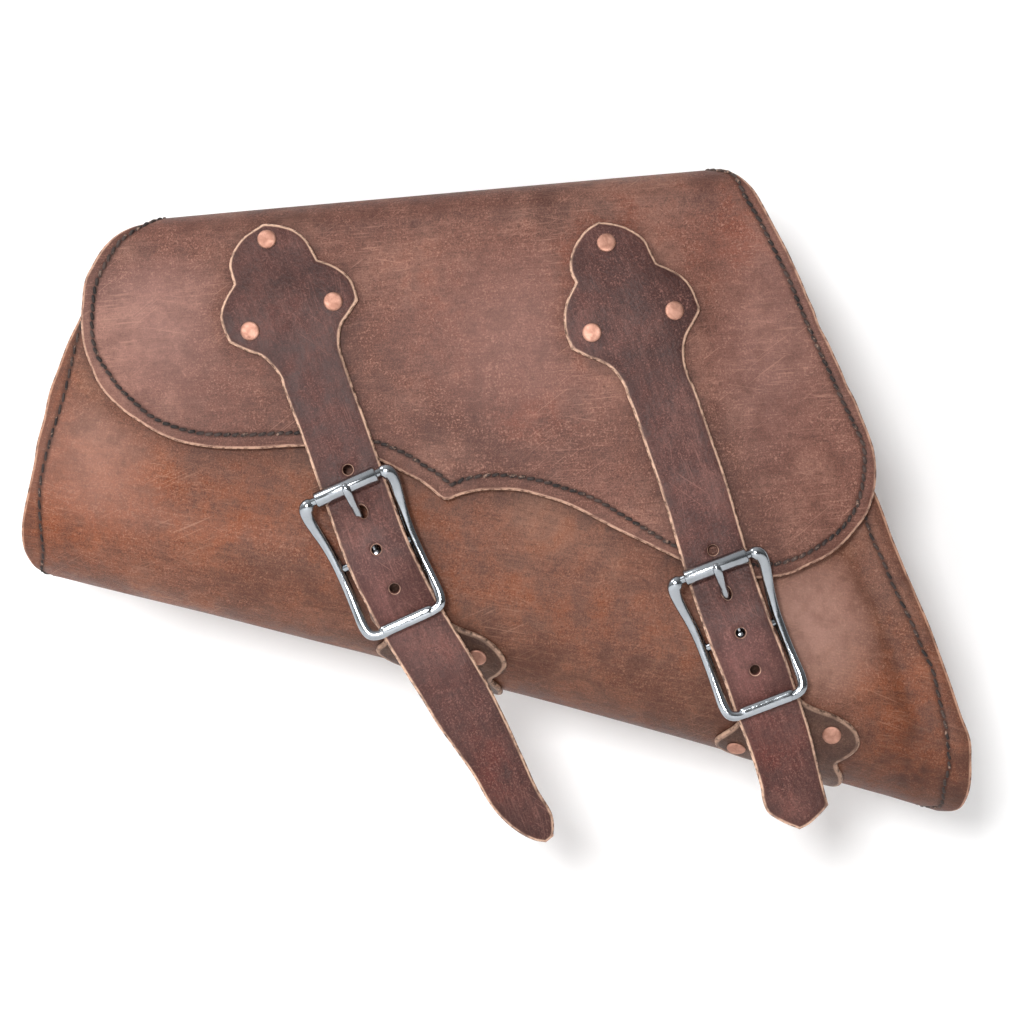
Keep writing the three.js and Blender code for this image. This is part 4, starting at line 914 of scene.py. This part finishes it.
lw, rw = cut_top(left_sa, TOP_CUT), cut_top(right_sa, TOP_CUT)
wrap_outline = lw + [(-186.5, QUARTER + 6), (-186.5, END_A)] + [(250.5, END_A), (250.5, QUARTER + 6)] + rw[::-1]
seam_l = [tuple(float(v) for v in xz_to_sa(x, z)) for x, z in SEAM_L[:-1]] + [(-188.0, QUARTER - 6), (-182.0, QUARTER + 4), (-181.0, QUARTER + 20), (-181.0, END_A - 4)]
seam_r = [tuple(float(v) for v in xz_to_sa(x, z)) for x, z in SEAM_R[:-2]] + [(249.5, 44.0), (244.5, 54.0), (240.5, QUARTER + 6), (239.5, QUARTER + 20), (239.5, END_A - 4)]


def wrap_map(s, a):
    return wrap_sa(s, a)


front = pattern("front_wrap_leather", wrap_outline, wrap_map, LEATHER, 3.2, seams=[seam_l, seam_r], r=1.3, out=lambda s, a: out_dir(a), corner=30)
dress(front, M_BODY, "bag", ["front_wrap"])
sa_out = lambda s, a: out_dir(np.asarray(a, float))
stitches("left_seam_thread", seam_l, wrap_map, 5.6, 5.1, 0.66, "bag", sa_out, lift=-0.2)
stitches("right_seam_thread", seam_r, wrap_map, 4.9, 4.6, 0.74, "bag", sa_out, lift=-0.2, slant=0.5)

# back panel
body_xz = [tuple(p) for p in BODY_LEFT[:-1]]
low_l = [tuple(float(v) for v in to_xz(s_left(h), bottom_t(s_left(h)) + h)) for h in (38, 27, 18, 10, 5, 2, 0.5)]
low_r = [tuple(float(v) for v in to_xz(s_right(h), bottom_t(s_right(h)) + h)) for h in (38, 27, 18, 10, 5, 2, 0.5)]
low = [tuple(float(v) for v in to_xz(s, bottom_t(s) + 0.4)) for s in np.linspace(-165, 230, 9)]
bx0, bx1 = BODY_LEFT[0][0] + 1, BODY_RIGHT[0][0] - 1
back_outline = [(bx0, top_z(bx0) - 3.5)] + body_xz + low_l + low + low_r[::-1] + [tuple(p) for p in BODY_RIGHT[:-1]][::-1] + [(bx1, top_z(bx1) - 3.5)]
bl = smooth_loop(back_outline, 3.0, 40)
back_seam = inset(bl if area2(bl) > 0 else bl[::-1], 5.0)
back_seam = back_seam[::3]
back = pattern("back_panel_leather", back_outline, lambda x, z: np.stack([x, 0 * x - 0.05, z], -1), BACK - 0.1, 6.0, seams=[np.vstack([back_seam, back_seam[:1]])], r=1.2, out=lambda x, z: np.stack([0 * x, 0 * x + 1.0, 0 * x], -1), corner=40)
dress(back, M_BODY, "bag", ["back_panel"])
stitches("back_seam_thread", np.vstack([back_seam, back_seam[:1]]), lambda x, z: np.stack([x, 0 * x - 0.05, z], -1), 6.2, 5.2, 0.55, "bag", (0, 1, 0), lift=-0.3)


# gussets
def gusset(side):
    sg = -1 if side == "left" else 1
    m = MARGIN[side]
    lines = np.array(lw if side == "left" else rw)
    edge = resample(lines, 3.5)
    # a runs down the section; the wall is m inside the seam edge
    def sec(p, d):
        return wrap_sa(p[:, 0] - sg * d, p[:, 1])
    Nn = out_dir(edge[:, 1])
    f = LEATHER + GAP + 0.3
    rows = []
    rad = 3.0
    inner = np.stack([sec(edge, d) for d in np.linspace(1.2, m - rad, 4)], 1) - Nn[:, None] * f
    wall0 = sec(edge, m) - Nn * (f + rad)
    corner = np.stack([sec(edge, m - rad + rad * math.sin(k)) - Nn * (f + rad * (1 - math.cos(k))) for k in (0.4, 0.9, 1.3)], 1)
    yb = -BACK - GAP
    cols = 15
    ww = []
    for k in np.linspace(0, 1, cols):
        p = wall0.copy()
        p[:, 1] = wall0[:, 1] + (yb - 3.0 - wall0[:, 1]) * k
        bulge = 2.6 * math.sin(math.pi * k) * np.sin(np.linspace(0.15, math.pi - 0.05, len(p)))
        dx, dz = to_xz(1.0, 0.0)
        off = sg * bulge + 0.5 * W_FINE(p[:, 1] * 1.5, p[:, 2])
        p[:, 0] -= off * dx * 1.0
        p[:, 2] -= off * dz * 1.0
        ww.append(p)
    wall = np.stack(ww, 1)
    lastp = wall[:, -1]
    dxs, dzs = to_xz(1.0, 0.0)
    dirn = np.array([dxs, 0, dzs]) * sg
    turn = np.stack([lastp + dirn * (2.2 * (1 - math.cos(k))) + np.array([0, 2.2 * math.sin(k), 0]) for k in (0.5, 1.0, 1.45)], 1)
    reach = np.clip(m - 2.4, 3, 30)
    flange = np.stack([turn[:, -1] + dirn * (reach * k) for k in (0.3, 0.65, 1.0)], 1)
    G = np.concatenate([inner, corner, wall, turn, flange], 1)
    keep = edge[:, 1] <= QUARTER * 0.985
    G = G[keep]
    want = np.tile(np.array([sg * SX, 0, sg * SZ]), (G.shape[0] * G.shape[1], 1))
    ob = grid_sheet(side + "_gusset_leather", G, 2.4, 0.9, want)
    return dress(ob, M_BODY, "bag", [side + "_gusset"])


gusset("left")
gusset("right")

# ------------------------------------------------------------------ lid
EX, EZ = 0.99606, 0.08846


def lid_map_off(off):
    rf = FOLD - off

    def f(p, q):
        p, q = np.broadcast_arrays(np.asarray(p, float), np.asarray(q, float))
        x, z0 = -30 + p * EX, 0
        z = top_z(x)
        # flap
        X, Z = x + EZ * q, z - EX * q
        y_flap = lid_y(X, Z) + off
        # fold
        th = np.clip((q - (FOLD - FOLD * math.pi / 2)) / FOLD, 0, math.pi / 2)
        xf, zf = x + EZ * FOLD, z - EX * FOLD
        yf = lid_y(xf, zf)
        d = FOLD - rf * np.cos(th)
        y_fold = yf + FOLD - rf * np.sin(th)
        xx, zz = x + EZ * d, z - EX * d
        # strip
        back = np.maximum(0, (FOLD - FOLD * math.pi / 2) - q)
        y_strip = yf + FOLD + back
        sagk = smooth(back / 25) * smooth((80 - back) / 25)
        zs = z - EX * off + sagk * (-1.1 + 0.5 * W_LID(x * 1.0, back))
        flap, strip = q >= FOLD, q < FOLD - FOLD * math.pi / 2
        return np.stack([np.where(flap, X, np.where(strip, x + EZ * off, xx)), np.where(flap, y_flap, np.where(strip, y_strip, y_fold)), np.where(flap, Z, np.where(strip, zs, zz))], -1)

    return f


def lid_out(p, q):
    th = np.clip((q - (FOLD - FOLD * math.pi / 2)) / FOLD, 0, math.pi / 2)
    return np.stack([0 * th, -np.sin(th), np.cos(th)], -1)


def to_pq(x, z):
    """Pattern coordinates of a point of the lid's front outline."""
    # x = -30 + p EX + EZ d, z = top_z(-30 + p EX) - EX d
    p = (x + 30) / EX
    for _ in range(4):
        d = (top_z(-30 + p * EX) - z) / EX
        p = (x + 30 - EZ * d) / EX
    d = (top_z(-30 + p * EX) - z) / EX
    if d >= FOLD:
        return p, d
    th = math.acos(max(-1, min(1, 1 - max(d, 0) / FOLD)))
    return p, FOLD - FOLD * (math.pi / 2 - th)


lid_front = [to_pq(x, z) for x, z in LID_OUTLINE]
STRIP_Q = FOLD - FOLD * math.pi / 2
yb = (SEAM_Y - LID_OFF) + FOLD
BACK_Q = STRIP_Q - (-yb - 1.2)
pl, pr = lid_front[0][0], lid_front[-1][0]


def lid_loop(d_back, d_in=0.0):
    pts = [(pl, STRIP_Q + 1)] + [q for q in lid_front if q[1] > STRIP_Q + 3] + [(pr, STRIP_Q + 1), (pr, BACK_Q + d_back), (pl, BACK_Q + d_back)]
    return pts


lid_seam = [to_pq(x, z) for x, z in LID_STITCH]
lid_seam = [(lid_seam[0][0] + 1.5, BACK_Q + 6)] + [(pl + 5.5, STRIP_Q - 8), (pl + 5.2, STRIP_Q + 2)] + [q for q in lid_seam if q[1] > STRIP_Q + 8] + [(pr - 5.2, STRIP_Q + 2), (pr - 5.2, STRIP_Q - 8), (pr - 5.2, BACK_Q + 6)]
lid_seam[0] = (pl + 5.5, BACK_Q + 6)
lm = lid_map_off(0.0)
lid = pattern("lid_leather", lid_loop(0), lm, LID_THICK, 2.9, seams=[lid_seam], r=1.25, out=lid_out, corner=34)
dress(lid, M_LID, "lid", ["lid_panel"])
lin_loop = smooth_loop(lid_loop(3.8), 3.0, 34)
lin_loop = inset(lin_loop if area2(lin_loop) > 0 else lin_loop[::-1], 1.6)
lining = pattern("lid_lining_leather", lin_loop, lid_map_off(LID_THICK + 0.15), 1.0, 5.5, r=0.4, out=lid_out, corner=60)
dress(lining, M_LINING, "lid", ["lid_lining"])
stitches("lid_thread", lid_seam, lm, 4.05, 3.75, 0.84, "lid", lid_out, lift=-0.02, slant=0.5)

# the leather hinge inside the back edge, from the back panel's inner face to the lid's underside
hinge_path = catmull(np.array([(-4.35, -17), (-4.35, -13), (-4.35, -9.5), (-4.6, -7), (-6.0, -5.6), (-8.5, -5.0), (-12, -4.9), (-16, -4.9)], float), 26)
hp = np.linspace(pl + 9, pr - 9, 70)
HG = np.stack([np.stack([-30 + hp * EX - EZ * dz, 0 * hp + y, top_z(-30 + hp * EX) + EX * dz], -1) for y, dz in hinge_path])
hinge = grid_sheet("lid_hinge_leather", HG, 1.1, 0.4, np.tile([0, -1.0, -0.6], (HG.shape[0] * HG.shape[1], 1)))
dress(hinge, M_LINING, None)
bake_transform(hinge)

# ------------------------------------------------------------------ billets
_u = np.arange(-170, 190, 0.5)
_rows = np.array([(-140, -0.4), (-36, -0.4), (-31, -0.35), (-27, 0.1), (-23, 1.1), (-19, 2.3), (-15, 3.5), (-11, 4.5), (-7, 5.1), (-3, 5.3), (3, 5.3), (7, 5.05), (11, 4.3), (15, 3.2), (19, 1.8), (23, 0.3), (27, -1.3), (31, -2.6), (35, -3.3), (40, -3.5), (60, -3.9), (90, -5.3), (120, -8), (165, -13)])
_w = np.interp(_u, _rows[:, 0], _rows[:, 1])
_k = np.exp(-0.5 * (np.arange(-12, 13) / 4.0) ** 2)
_w = np.convolve(np.pad(_w, 12, mode="edge"), _k / _k.sum(), mode="valid")


def strap_w(u):
    return np.interp(u, _u, _w)


TAB_T = 2.9


def billet(side):
    F, b = LOC[side], BUCKLES[side]

    def fmap(x, z):
        u = F.u_of(x, z)
        tab = lid_y(x, z) - 0.35 - TAB_T
        wav = 0.25 * W_FINE(x * 1.3, z * 1.3) * smooth((u - 45) / 20)
        strap = BAR - (strap_w(u) + TAB_T) + wav
        k = smooth((u - (b["hinge"] - 8)) / 14)
        return np.stack([x, tab * (1 - k) + strap * k, z], -1)

    cl, tip, west, east = STRAP_LINE[side], STRAP_TIP[side], [], []
    for i in range(1, len(cl) - 1):
        t = unit(np.array(cl[i + 1]) - np.array(cl[i - 1]))
        nn = np.array([t[1], -t[0]])
        west.append(tuple(np.array(cl[i]) + nn * 15.0))
        east.append(tuple(np.array(cl[i]) - nn * 15.0))
    down = lambda lst, z: [p for p in lst if p[1] > z]
    w2, e2 = down(west, tip[0][1] + 9)[1:], down(east, tip[-1][1] + 9)[1:]
    outline = TAB[side] + e2 + tip[::-1] + w2[::-1]
    holes = []
    cls = dense(np.asarray(cl), 0.3)
    for hu in HOLES[side]:
        c = cls[np.argmin(np.abs(F.u_of(cls[:, 0], cls[:, 1]) - hu))]
        ph = np.linspace(0, 2 * math.pi, 20, endpoint=False)
        big = 1.35 if abs(hu + 20.6) < 1 else 1.0
        e1, e2v = np.array([F.l[0], F.l[2]]), np.array([F.u[0], F.u[2]])
        holes.append(c + (np.cos(ph) * 2.25)[:, None] * e1 + (np.sin(ph) * 2.25 * big)[:, None] * e2v)
    ob = pattern(side + "_billet_leather", outline, fmap, TAB_T, 1.9, holes=holes, r=1.1, corner=38)
    dress(ob, M_STRAP, None, [side + "_strap_tab", side + "_strap"])
    h = b["hinge"]
    tuple(F.at(0, h - 6, 2.8) / 1000)
    tuple(F.at(0, h + 9, 2.8) / 1000)
    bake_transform(ob)
    return ob


billet("left")
billet("right")

# ------------------------------------------------------------------ chapes
CH_T = 2.5
CHAPE = {
    "left": dict(rows=[(-18.1, 12.1, 39, 14), (-13, 16.5, 36, 14), (-9, 20, 32, 15), (-5.5, 23, 28, 19.5), (-2, 25.5, 25, 25), (2, 29, 22, 28.5), (5.7, 32.5, 20, 29), (8.5, 36, 20, 27.5), (11, 40, 21, 23), (13, 43.5, 22, 18), (14.5, 46.5, 23, 17), (17, 52, 25, 18.5), (20, 58, 27, 18), (22.5, 63, 28, 14.5), (24.5, 67, 28, 9), (26, 70, 28, 2)], rivets=[(20.8, 24.5), (-9.4, 40.5), (18, 54)]),
    "right": dict(rows=[(151, 5.1, 35.7, 14), (155, 9.5, 34, 14), (158.5, 13, 32, 15.5), (161, 16, 30, 20), (164, 19.5, 28, 27), (167, 23, 26, 32), (170, 27, 25, 33.5), (173, 31, 25, 31.5), (175.5, 34.5, 26, 26), (177.5, 37.5, 27, 19.5), (179.5, 41, 28, 18.5), (182, 46.5, 28, 19.5), (184.5, 52, 28, 18.5), (187, 57.5, 28, 14.5), (189, 62, 28, 8.5), (190.5, 65, 28, 2)], rivets=[(188, 14.8), (148.2, 37.2), (183, 49)]),
}


def on_wrap(s, a, off):
    P = wrap_sa(s, a)
    return P + out_dir(np.asarray(a, float)) * off


def chape(side):
    F, c = LOC[side], CHAPE[side]
    path = [(15, -5.0), (10, -4.5), (5, -3.85), (0, -3.65)]
    for k in range(1, 8):
        a = math.radians(-90 - k * 22.5)
        path.append((3.65 * math.cos(a), 3.65 * math.sin(a)))
    path += [(0, 3.65), (5, 3.5), (9, 2.6), (13, 0.8), (17, -1.7), (20, -3.7), (22.5, -4.9)]
    path = np.array(path, float)
    fine = catmull(path, 90)
    K = 29
    e = np.linspace(-1, 1, K)
    G = [F.at(e * 13.4, u, w) for u, w in fine]
    want = []
    tan = unit(np.gradient(fine, axis=0))
    for (u, w), t in zip(fine, tan):
        nrm = t[1] * F.u * 1.0 - t[0] * F.w  # square to the path in the u-w plane
        want.append(np.tile(nrm, (K, 1)))
    rows = np.array(c["rows"], float)
    rr = catmull(rows, 110)
    rr[:, 3] = np.maximum(rr[:, 3] - 0.3, 0.8)
    first = rr[0]
    for s, a, sl, hw in rr:
        E = e * hw
        aa = a - E * math.sin(math.radians(sl))
        P = on_wrap(s + E * math.cos(math.radians(sl)), aa, GAP + CH_T + 0.2)
        G.append(P)
        want.append(out_dir(aa))
    G, want = np.array(G), np.array(want)
    nf = len(fine)
    # the looped part is given by its mid-plane: move it to the outer face
    nn = want[:nf].copy()
    sgn = 1.0 if (nn[60] @ np.array([0, -1.0, 0])).mean() > 0 else -1.0
    G[:nf] += nn * sgn * CH_T / 2
    want[:nf] = nn * sgn
    # bridge the two parts smoothly
    A0, B0 = G[nf - 1], G[nf]
    tA = unit(G[nf - 1] - G[nf - 3]); tB = unit(G[nf + 2] - G[nf])
    Lb = np.linalg.norm(B0 - A0, axis=1, keepdims=True)
    br, wb = [], []
    for k in np.linspace(0, 1, 12)[1:-1]:
        h00, h10, h01, h11 = 2 * k**3 - 3 * k**2 + 1, k**3 - 2 * k**2 + k, -2 * k**3 + 3 * k**2, k**3 - k**2
        br.append(h00 * A0 + h10 * tA * Lb + h01 * B0 + h11 * tB * Lb)
        wb.append(want[nf - 1] * (1 - k) + want[nf] * k)
    G = np.concatenate([G[:nf], np.array(br), G[nf:]])
    want = np.concatenate([want[:nf], np.array(wb), want[nf:]])
    # slot for the tongue's eye
    mask = np.ones((G.shape[0] - 1, K - 1), bool)
    for i in range(nf - 1):
        u = (fine[i, 0] + fine[i + 1, 0]) / 2
        if -10 < u < 5.2:
            mask[i, [j for j in range(K - 1) if abs((e[j] + e[j + 1]) / 2 * 13.4) < 3.4]] = False
    ob = grid_sheet(side + "_chape_leather", G, CH_T, 0.9, want, mask)
    dress(ob, M_CHAPE, "bag", [side + "_chape"])


chape("left")
chape("right")


# ------------------------------------------------------------------ rivets
def rivet(name, p, n, grip, slack, body):
    n = unit(n)
    r = 4.4
    prof = [(0.02, 0.0), (0.02, r * 0.92), (0.15, r), (0.45, r), (0.72, r * 0.97), (0.92, r * 0.91), (1.04, r * 0.8), (1.1, r * 0.6), (1.14, r * 0.35), (1.15, r * 0.12), (1.15, 0.0)]
    head = lathe(prof, p, n, 28)
    V = head[0]
    g = np.random.default_rng(abs(hash_name(name)) % 9999)
    tilt = unit(g.normal(0, 1, 3)) * 0.05
    rel = V - p
    V = V + n * ((rel @ tilt) * (rel @ n > 0.6))[:, None]
    head = (V, head[1], head[2])
    shank = lathe([(-grip - slack - 1.0, 0.0), (-grip - slack - 1.0, 1.6), (-grip - slack - 0.7, 2.0), (0.1, 2.0), (0.1, 0.0)], p, n, 20)
    ob = join(name + "_rivet_copper", [head, shank])
    dress(ob, M_COPPER, body, [name + "_rivet"])
    b0, b1, ri, ro = -grip - slack - 0.85, -grip - slack, 2.25, 4.3
    burr = lathe([(b0, ri), (b0, ro - 0.2), (b0 + 0.2, ro), (b1 - 0.2, ro), (b1, ro - 0.2), (b1, ri), (b0, ri)], p, n, 28)
    ob = join(name + "_burr_copper", [burr])
    dress(ob, M_COPPER, body, [name + "_burr"])


def hash_name(s):
    h = 7
    for ch in s:
        h = (h * 31 + ord(ch)) % 100003
    return h


for side in ("left", "right"):
    for k, (x, z) in enumerate(LID_RIVETS[side]):
        x, z = np.array(float(x)), np.array(float(z))
        gx = (lid_y(x + 1, z) - lid_y(x - 1, z)) / 2
        gz = (lid_y(x, z + 1) - lid_y(x, z - 1)) / 2
        n = unit(np.array([float(gx), -1.0, float(gz)]))
        p = np.array([float(x), float(lid_y(x, z)), float(z)]) + n * (0.35 + TAB_T + 0.05)
        rivet(f"{side}_tab_{['upper', 'right', 'left'][k]}", p, n, 0.4 + TAB_T + LID_THICK + 0.3 + LINING, 0.3, "lid")
    for k, (s, a) in enumerate(CHAPE[side]["rivets"]):
        p = on_wrap(s, a, GAP + CH_T + 0.3)
        rivet(f"{side}_chape_{['outer', 'inner', 'lower'][k]}", p, out_dir(np.array(float(a))), GAP + CH_T + 0.3 + LEATHER, 0.8, "bag")

# ------------------------------------------------------------------ buckles
HALF = [(-16.0, -33.4, 6.7, 2.9, 2.7), (-18.4, -33.2, 6.7, 3.5, 2.9), (-20.7, -31.6, 6.2, 3.5, 2.9), (-21.5, -28, 5.2, 2.9, 2.6), (-20.9, -22, 3.6, 2.6, 2.3), (-19.6, -14, 1.8, 2.4, 2.2), (-18.7, -5, 0.4, 2.4, 2.3), (-18.5, 3, 0.1, 2.4, 2.3), (-18.6, 12, 0.6, 2.3, 2.1), (-18.9, 21, 1.6, 2.3, 2.0), (-18.9, 28, 2.6, 2.4, 2.0), (-17.6, 32.3, 3.1, 2.4, 2.0), (-14, 34.0, 3.2, 2.2, 1.9), (-6, 34.2, 3.2, 2.2, 1.8)]
TONGUE = [(1.5, 1.2, 1.9, 1.7), (-4, 2.4, 1.9, 1.6), (-9, 2.5, 1.9, 1.5), (-14, 2.2, 1.9, 1.4), (-18, 2.9, 1.9, 1.4), (-22, 5.2, 1.9, 1.4), (-26, 8.3, 1.9, 1.4), (-29.6, 10.9, 1.95, 1.35), (-32.4, 11.95, 2.0, 1.3), (-35.2, 12.1, 1.9, 1.2)]


def rod(F, l0, l1, u, w, r, n=28, chamfer=0.3):
    return lathe([(0, 0), (0, r - chamfer), (chamfer, r), (l1 - l0 - chamfer, r), (l1 - l0, r - chamfer), (l1 - l0, 0)], F.at(l0, u, w), F.l, n)


def buckle(side):
    F = LOC[side]
    full = HALF + [(-l, *r) for l, *r in HALF[::-1]]
    q = catmull(np.array(full, float), 170)
    P = F.at(q[:, 0], q[:, 1], q[:, 2])
    # round the two free ends beside the roller
    a, b = q[:, 3].copy(), q[:, 4].copy()
    for k in range(5):
        f = math.sqrt(1 - (1 - (k + 0.35) / 5) ** 2)
        a[k] *= f; b[k] *= f; a[-1 - k] *= f; b[-1 - k] *= f
    ring = sweep(P, a, b, F.w, 22, 0.88)
    sl = np.linspace(-12.2, 12.2, 44)
    end = np.clip((12.6 - np.abs(sl)) / 1.8, 0.06, 1)
    end = np.sqrt(1 - (1 - end) ** 2) * 0.98
    step = sweep(F.at(sl, 33.6 + (1 - end) * 1.0, 3.25 + 0 * sl), 2.85 * (0.6 + 0.4 * end), 2.0 * (0.75 + 0.25 * end), F.w, 22, 0.72)
    ob = join(side + "_buckle_frame_nickel", [ring, step, rod(F, -17.5, 17.5, -33.5, 6.7, 2.0), rod(F, -18.4, 18.4, 0, 0, 1.95)])
    dress(ob, M_NICKEL, side + "_buckle", [side + "_buckle_frame"])
    r0, r1 = 2.35, 3.8
    L = 15.2
    prof = [(0.0, r0), (0.0, r1 - 0.7), (0.25, r1 - 0.25), (0.8, r1), (2 * L - 0.8, r1), (2 * L - 0.25, r1 - 0.25), (2 * L, r1 - 0.7), (2 * L, r0), (0.0, r0)]
    ob = join(side + "_roller_nickel", [lathe(prof, F.at(-L, -33.5, 6.7), F.l, 36)])
    dress(ob, M_NICKEL, side + "_roller", [side + "_roller"])
    q = catmull(np.array(TONGUE, float), 60)
    a, b = q[:, 3].copy(), q[:, 2].copy()
    tip = np.sqrt(np.clip(1 - (np.arange(7) / 6.6) ** 2, 0.02, 1))
    lat, thick = q[:, 2].copy(), q[:, 3].copy()
    lat[-7:] *= tip
    thick[-7:] *= tip
    tl = sweep(F.at(0 * q[:, 0], q[:, 0], q[:, 1]), thick, lat, F.l, 20)
    ph = np.linspace(0, 2 * math.pi, 40, endpoint=False)
    eye = sweep(F.at(0 * ph, 3.4 * np.cos(ph), 3.4 * np.sin(ph)), np.full(40, 0.85), np.full(40, 2.1), F.l, 14, 0.8, closed=True)
    ob = join(side + "_tongue_nickel", [tl, eye])
    dress(ob, M_NICKEL, side + "_tongue", [side + "_tongue"])


buckle("left")
buckle("right")


# ------------------------------------------------------------------ stage and light
def plane(name, pts, mat):
    me = bpy.data.meshes.new(name)
    me.from_pydata([tuple(v / 1000 for v in p) for p in pts], [], [tuple(range(len(pts)))])
    ob = bpy.data.objects.new(name, me)
    bpy.context.scene.collection.objects.link(ob)
    ob.data.materials.append(mat)
    return ob


def pale(name, see_from_behind):
    n = Nodes(name)
    n.set(Base_Color=(0.975, 0.975, 0.975), Roughness=0.9)
    n.put(n.bsdf.inputs["Specular IOR Level"], 0.0)
    if see_from_behind:
        n.put(n.bsdf.inputs["Emission Color"], (1, 1, 1))
        n.put(n.bsdf.inputs["Emission Strength"], 0.055)
        g = n.t.nodes.new("ShaderNodeNewGeometry")
        tr = n.t.nodes.new("ShaderNodeBsdfTransparent")
        mx = n.t.nodes.new("ShaderNodeMixShader")
        n.link(g.outputs["Backfacing"], mx.inputs[0])
        n.link(n.bsdf.outputs[0], mx.inputs[1])
        n.link(tr.outputs[0], mx.inputs[2])
        n.link(mx.outputs[0], n.out.inputs[0])
    return n.mat


# the backdrop shows only from the front, and is open behind the bag so that light reaches the back panel
BY = 42
ring_out = [(-2500, BY, -330), (2500, BY, -330), (2500, BY, 2500), (-2500, BY, 2500)]
ring_in = [(-150, BY, -16), (162, BY, -80), (112, BY, 40), (-150, BY, 30)]
me = bpy.data.meshes.new("backdrop")
me.from_pydata([tuple(v / 1000 for v in p) for p in ring_out + ring_in], [], [(k, (k + 1) % 4, 4 + (k + 1) % 4, 4 + k) for k in range(4)])
backdrop = bpy.data.objects.new("backdrop", me)
bpy.context.scene.collection.objects.link(backdrop)
me.materials.append(pale("backdrop_pale", True))
plane("floor", [(-2500, -3000, -330), (2500, -3000, -330), (2500, 3000, -330), (-2500, 3000, -330)], pale("floor_pale", True))


KEY, RAKE, SKY = 27.0, 11.5, 0.29


def area(name, loc, target, size, power, colour=(1, 1, 1), size_y=None):
    d = bpy.data.lights.new(name, "AREA")
    d.shape = "RECTANGLE"
    d.size, d.size_y = size, size_y or size
    d.energy = power
    d.color = colour
    o = bpy.data.objects.new(name, d)
    bpy.context.scene.collection.objects.link(o)
    o.location = loc
    o.rotation_mode = "QUATERNION"
    o.rotation_quaternion = (Vector(target) - Vector(loc)).to_track_quat("-Z", "Y")
    return o


area("key", (-0.33, -2.1, 0.30), (0.02, -0.05, -0.02), 0.38, KEY)
area("rake", (-1.25, -1.0, 1.15), (0.02, -0.05, -0.02), 0.55, RAKE)
world = bpy.data.worlds.new("world")
bpy.context.scene.world = world
world.use_nodes = True
wt = world.node_tree
bg = wt.nodes["Background"]
wc = wt.nodes.new("ShaderNodeTexCoord")
sp = wt.nodes.new("ShaderNodeSeparateXYZ")
wt.links.new(wc.outputs["Generated"], sp.inputs[0])
band = wt.nodes.new("ShaderNodeMapRange")
band.interpolation_type = "SMOOTHSTEP"
for k, v in (("From Min", -0.35), ("From Max", 0.6), ("To Min", SKY * 0.35), ("To Max", SKY * 2.2)):
    band.inputs[k].default_value = v
wt.links.new(sp.outputs["Z"], band.inputs["Value"])
side = wt.nodes.new("ShaderNodeMapRange")
side.interpolation_type = "SMOOTHSTEP"
for k, v in (("From Min", 0.75), ("From Max", -0.25), ("To Min", 0.35), ("To Max", 1.15)):
    side.inputs[k].default_value = v
wt.links.new(sp.outputs["X"], side.inputs["Value"])
both = wt.nodes.new("ShaderNodeMath")
both.operation = "MULTIPLY"
wt.links.new(band.outputs[0], both.inputs[0])
wt.links.new(side.outputs[0], both.inputs[1])
front = wt.nodes.new("ShaderNodeMapRange")
front.interpolation_type = "SMOOTHSTEP"
for k, v in (("From Min", -0.74), ("From Max", -0.95), ("To Min", 1.0), ("To Max", 0.30)):
    front.inputs[k].default_value = v
wt.links.new(sp.outputs["Y"], front.inputs["Value"])
both2 = wt.nodes.new("ShaderNodeMath")
both2.operation = "MULTIPLY"
wt.links.new(both.outputs[0], both2.inputs[0])
wt.links.new(front.outputs[0], both2.inputs[1])
wt.links.new(both2.outputs[0], bg.inputs["Strength"])
bg.inputs[0].default_value = (1, 1, 1, 1)
bpy.context.scene.view_settings.view_transform = "Standard"
bpy.context.scene.view_settings.look = "None"
bpy.context.scene.view_settings.exposure = 0.0
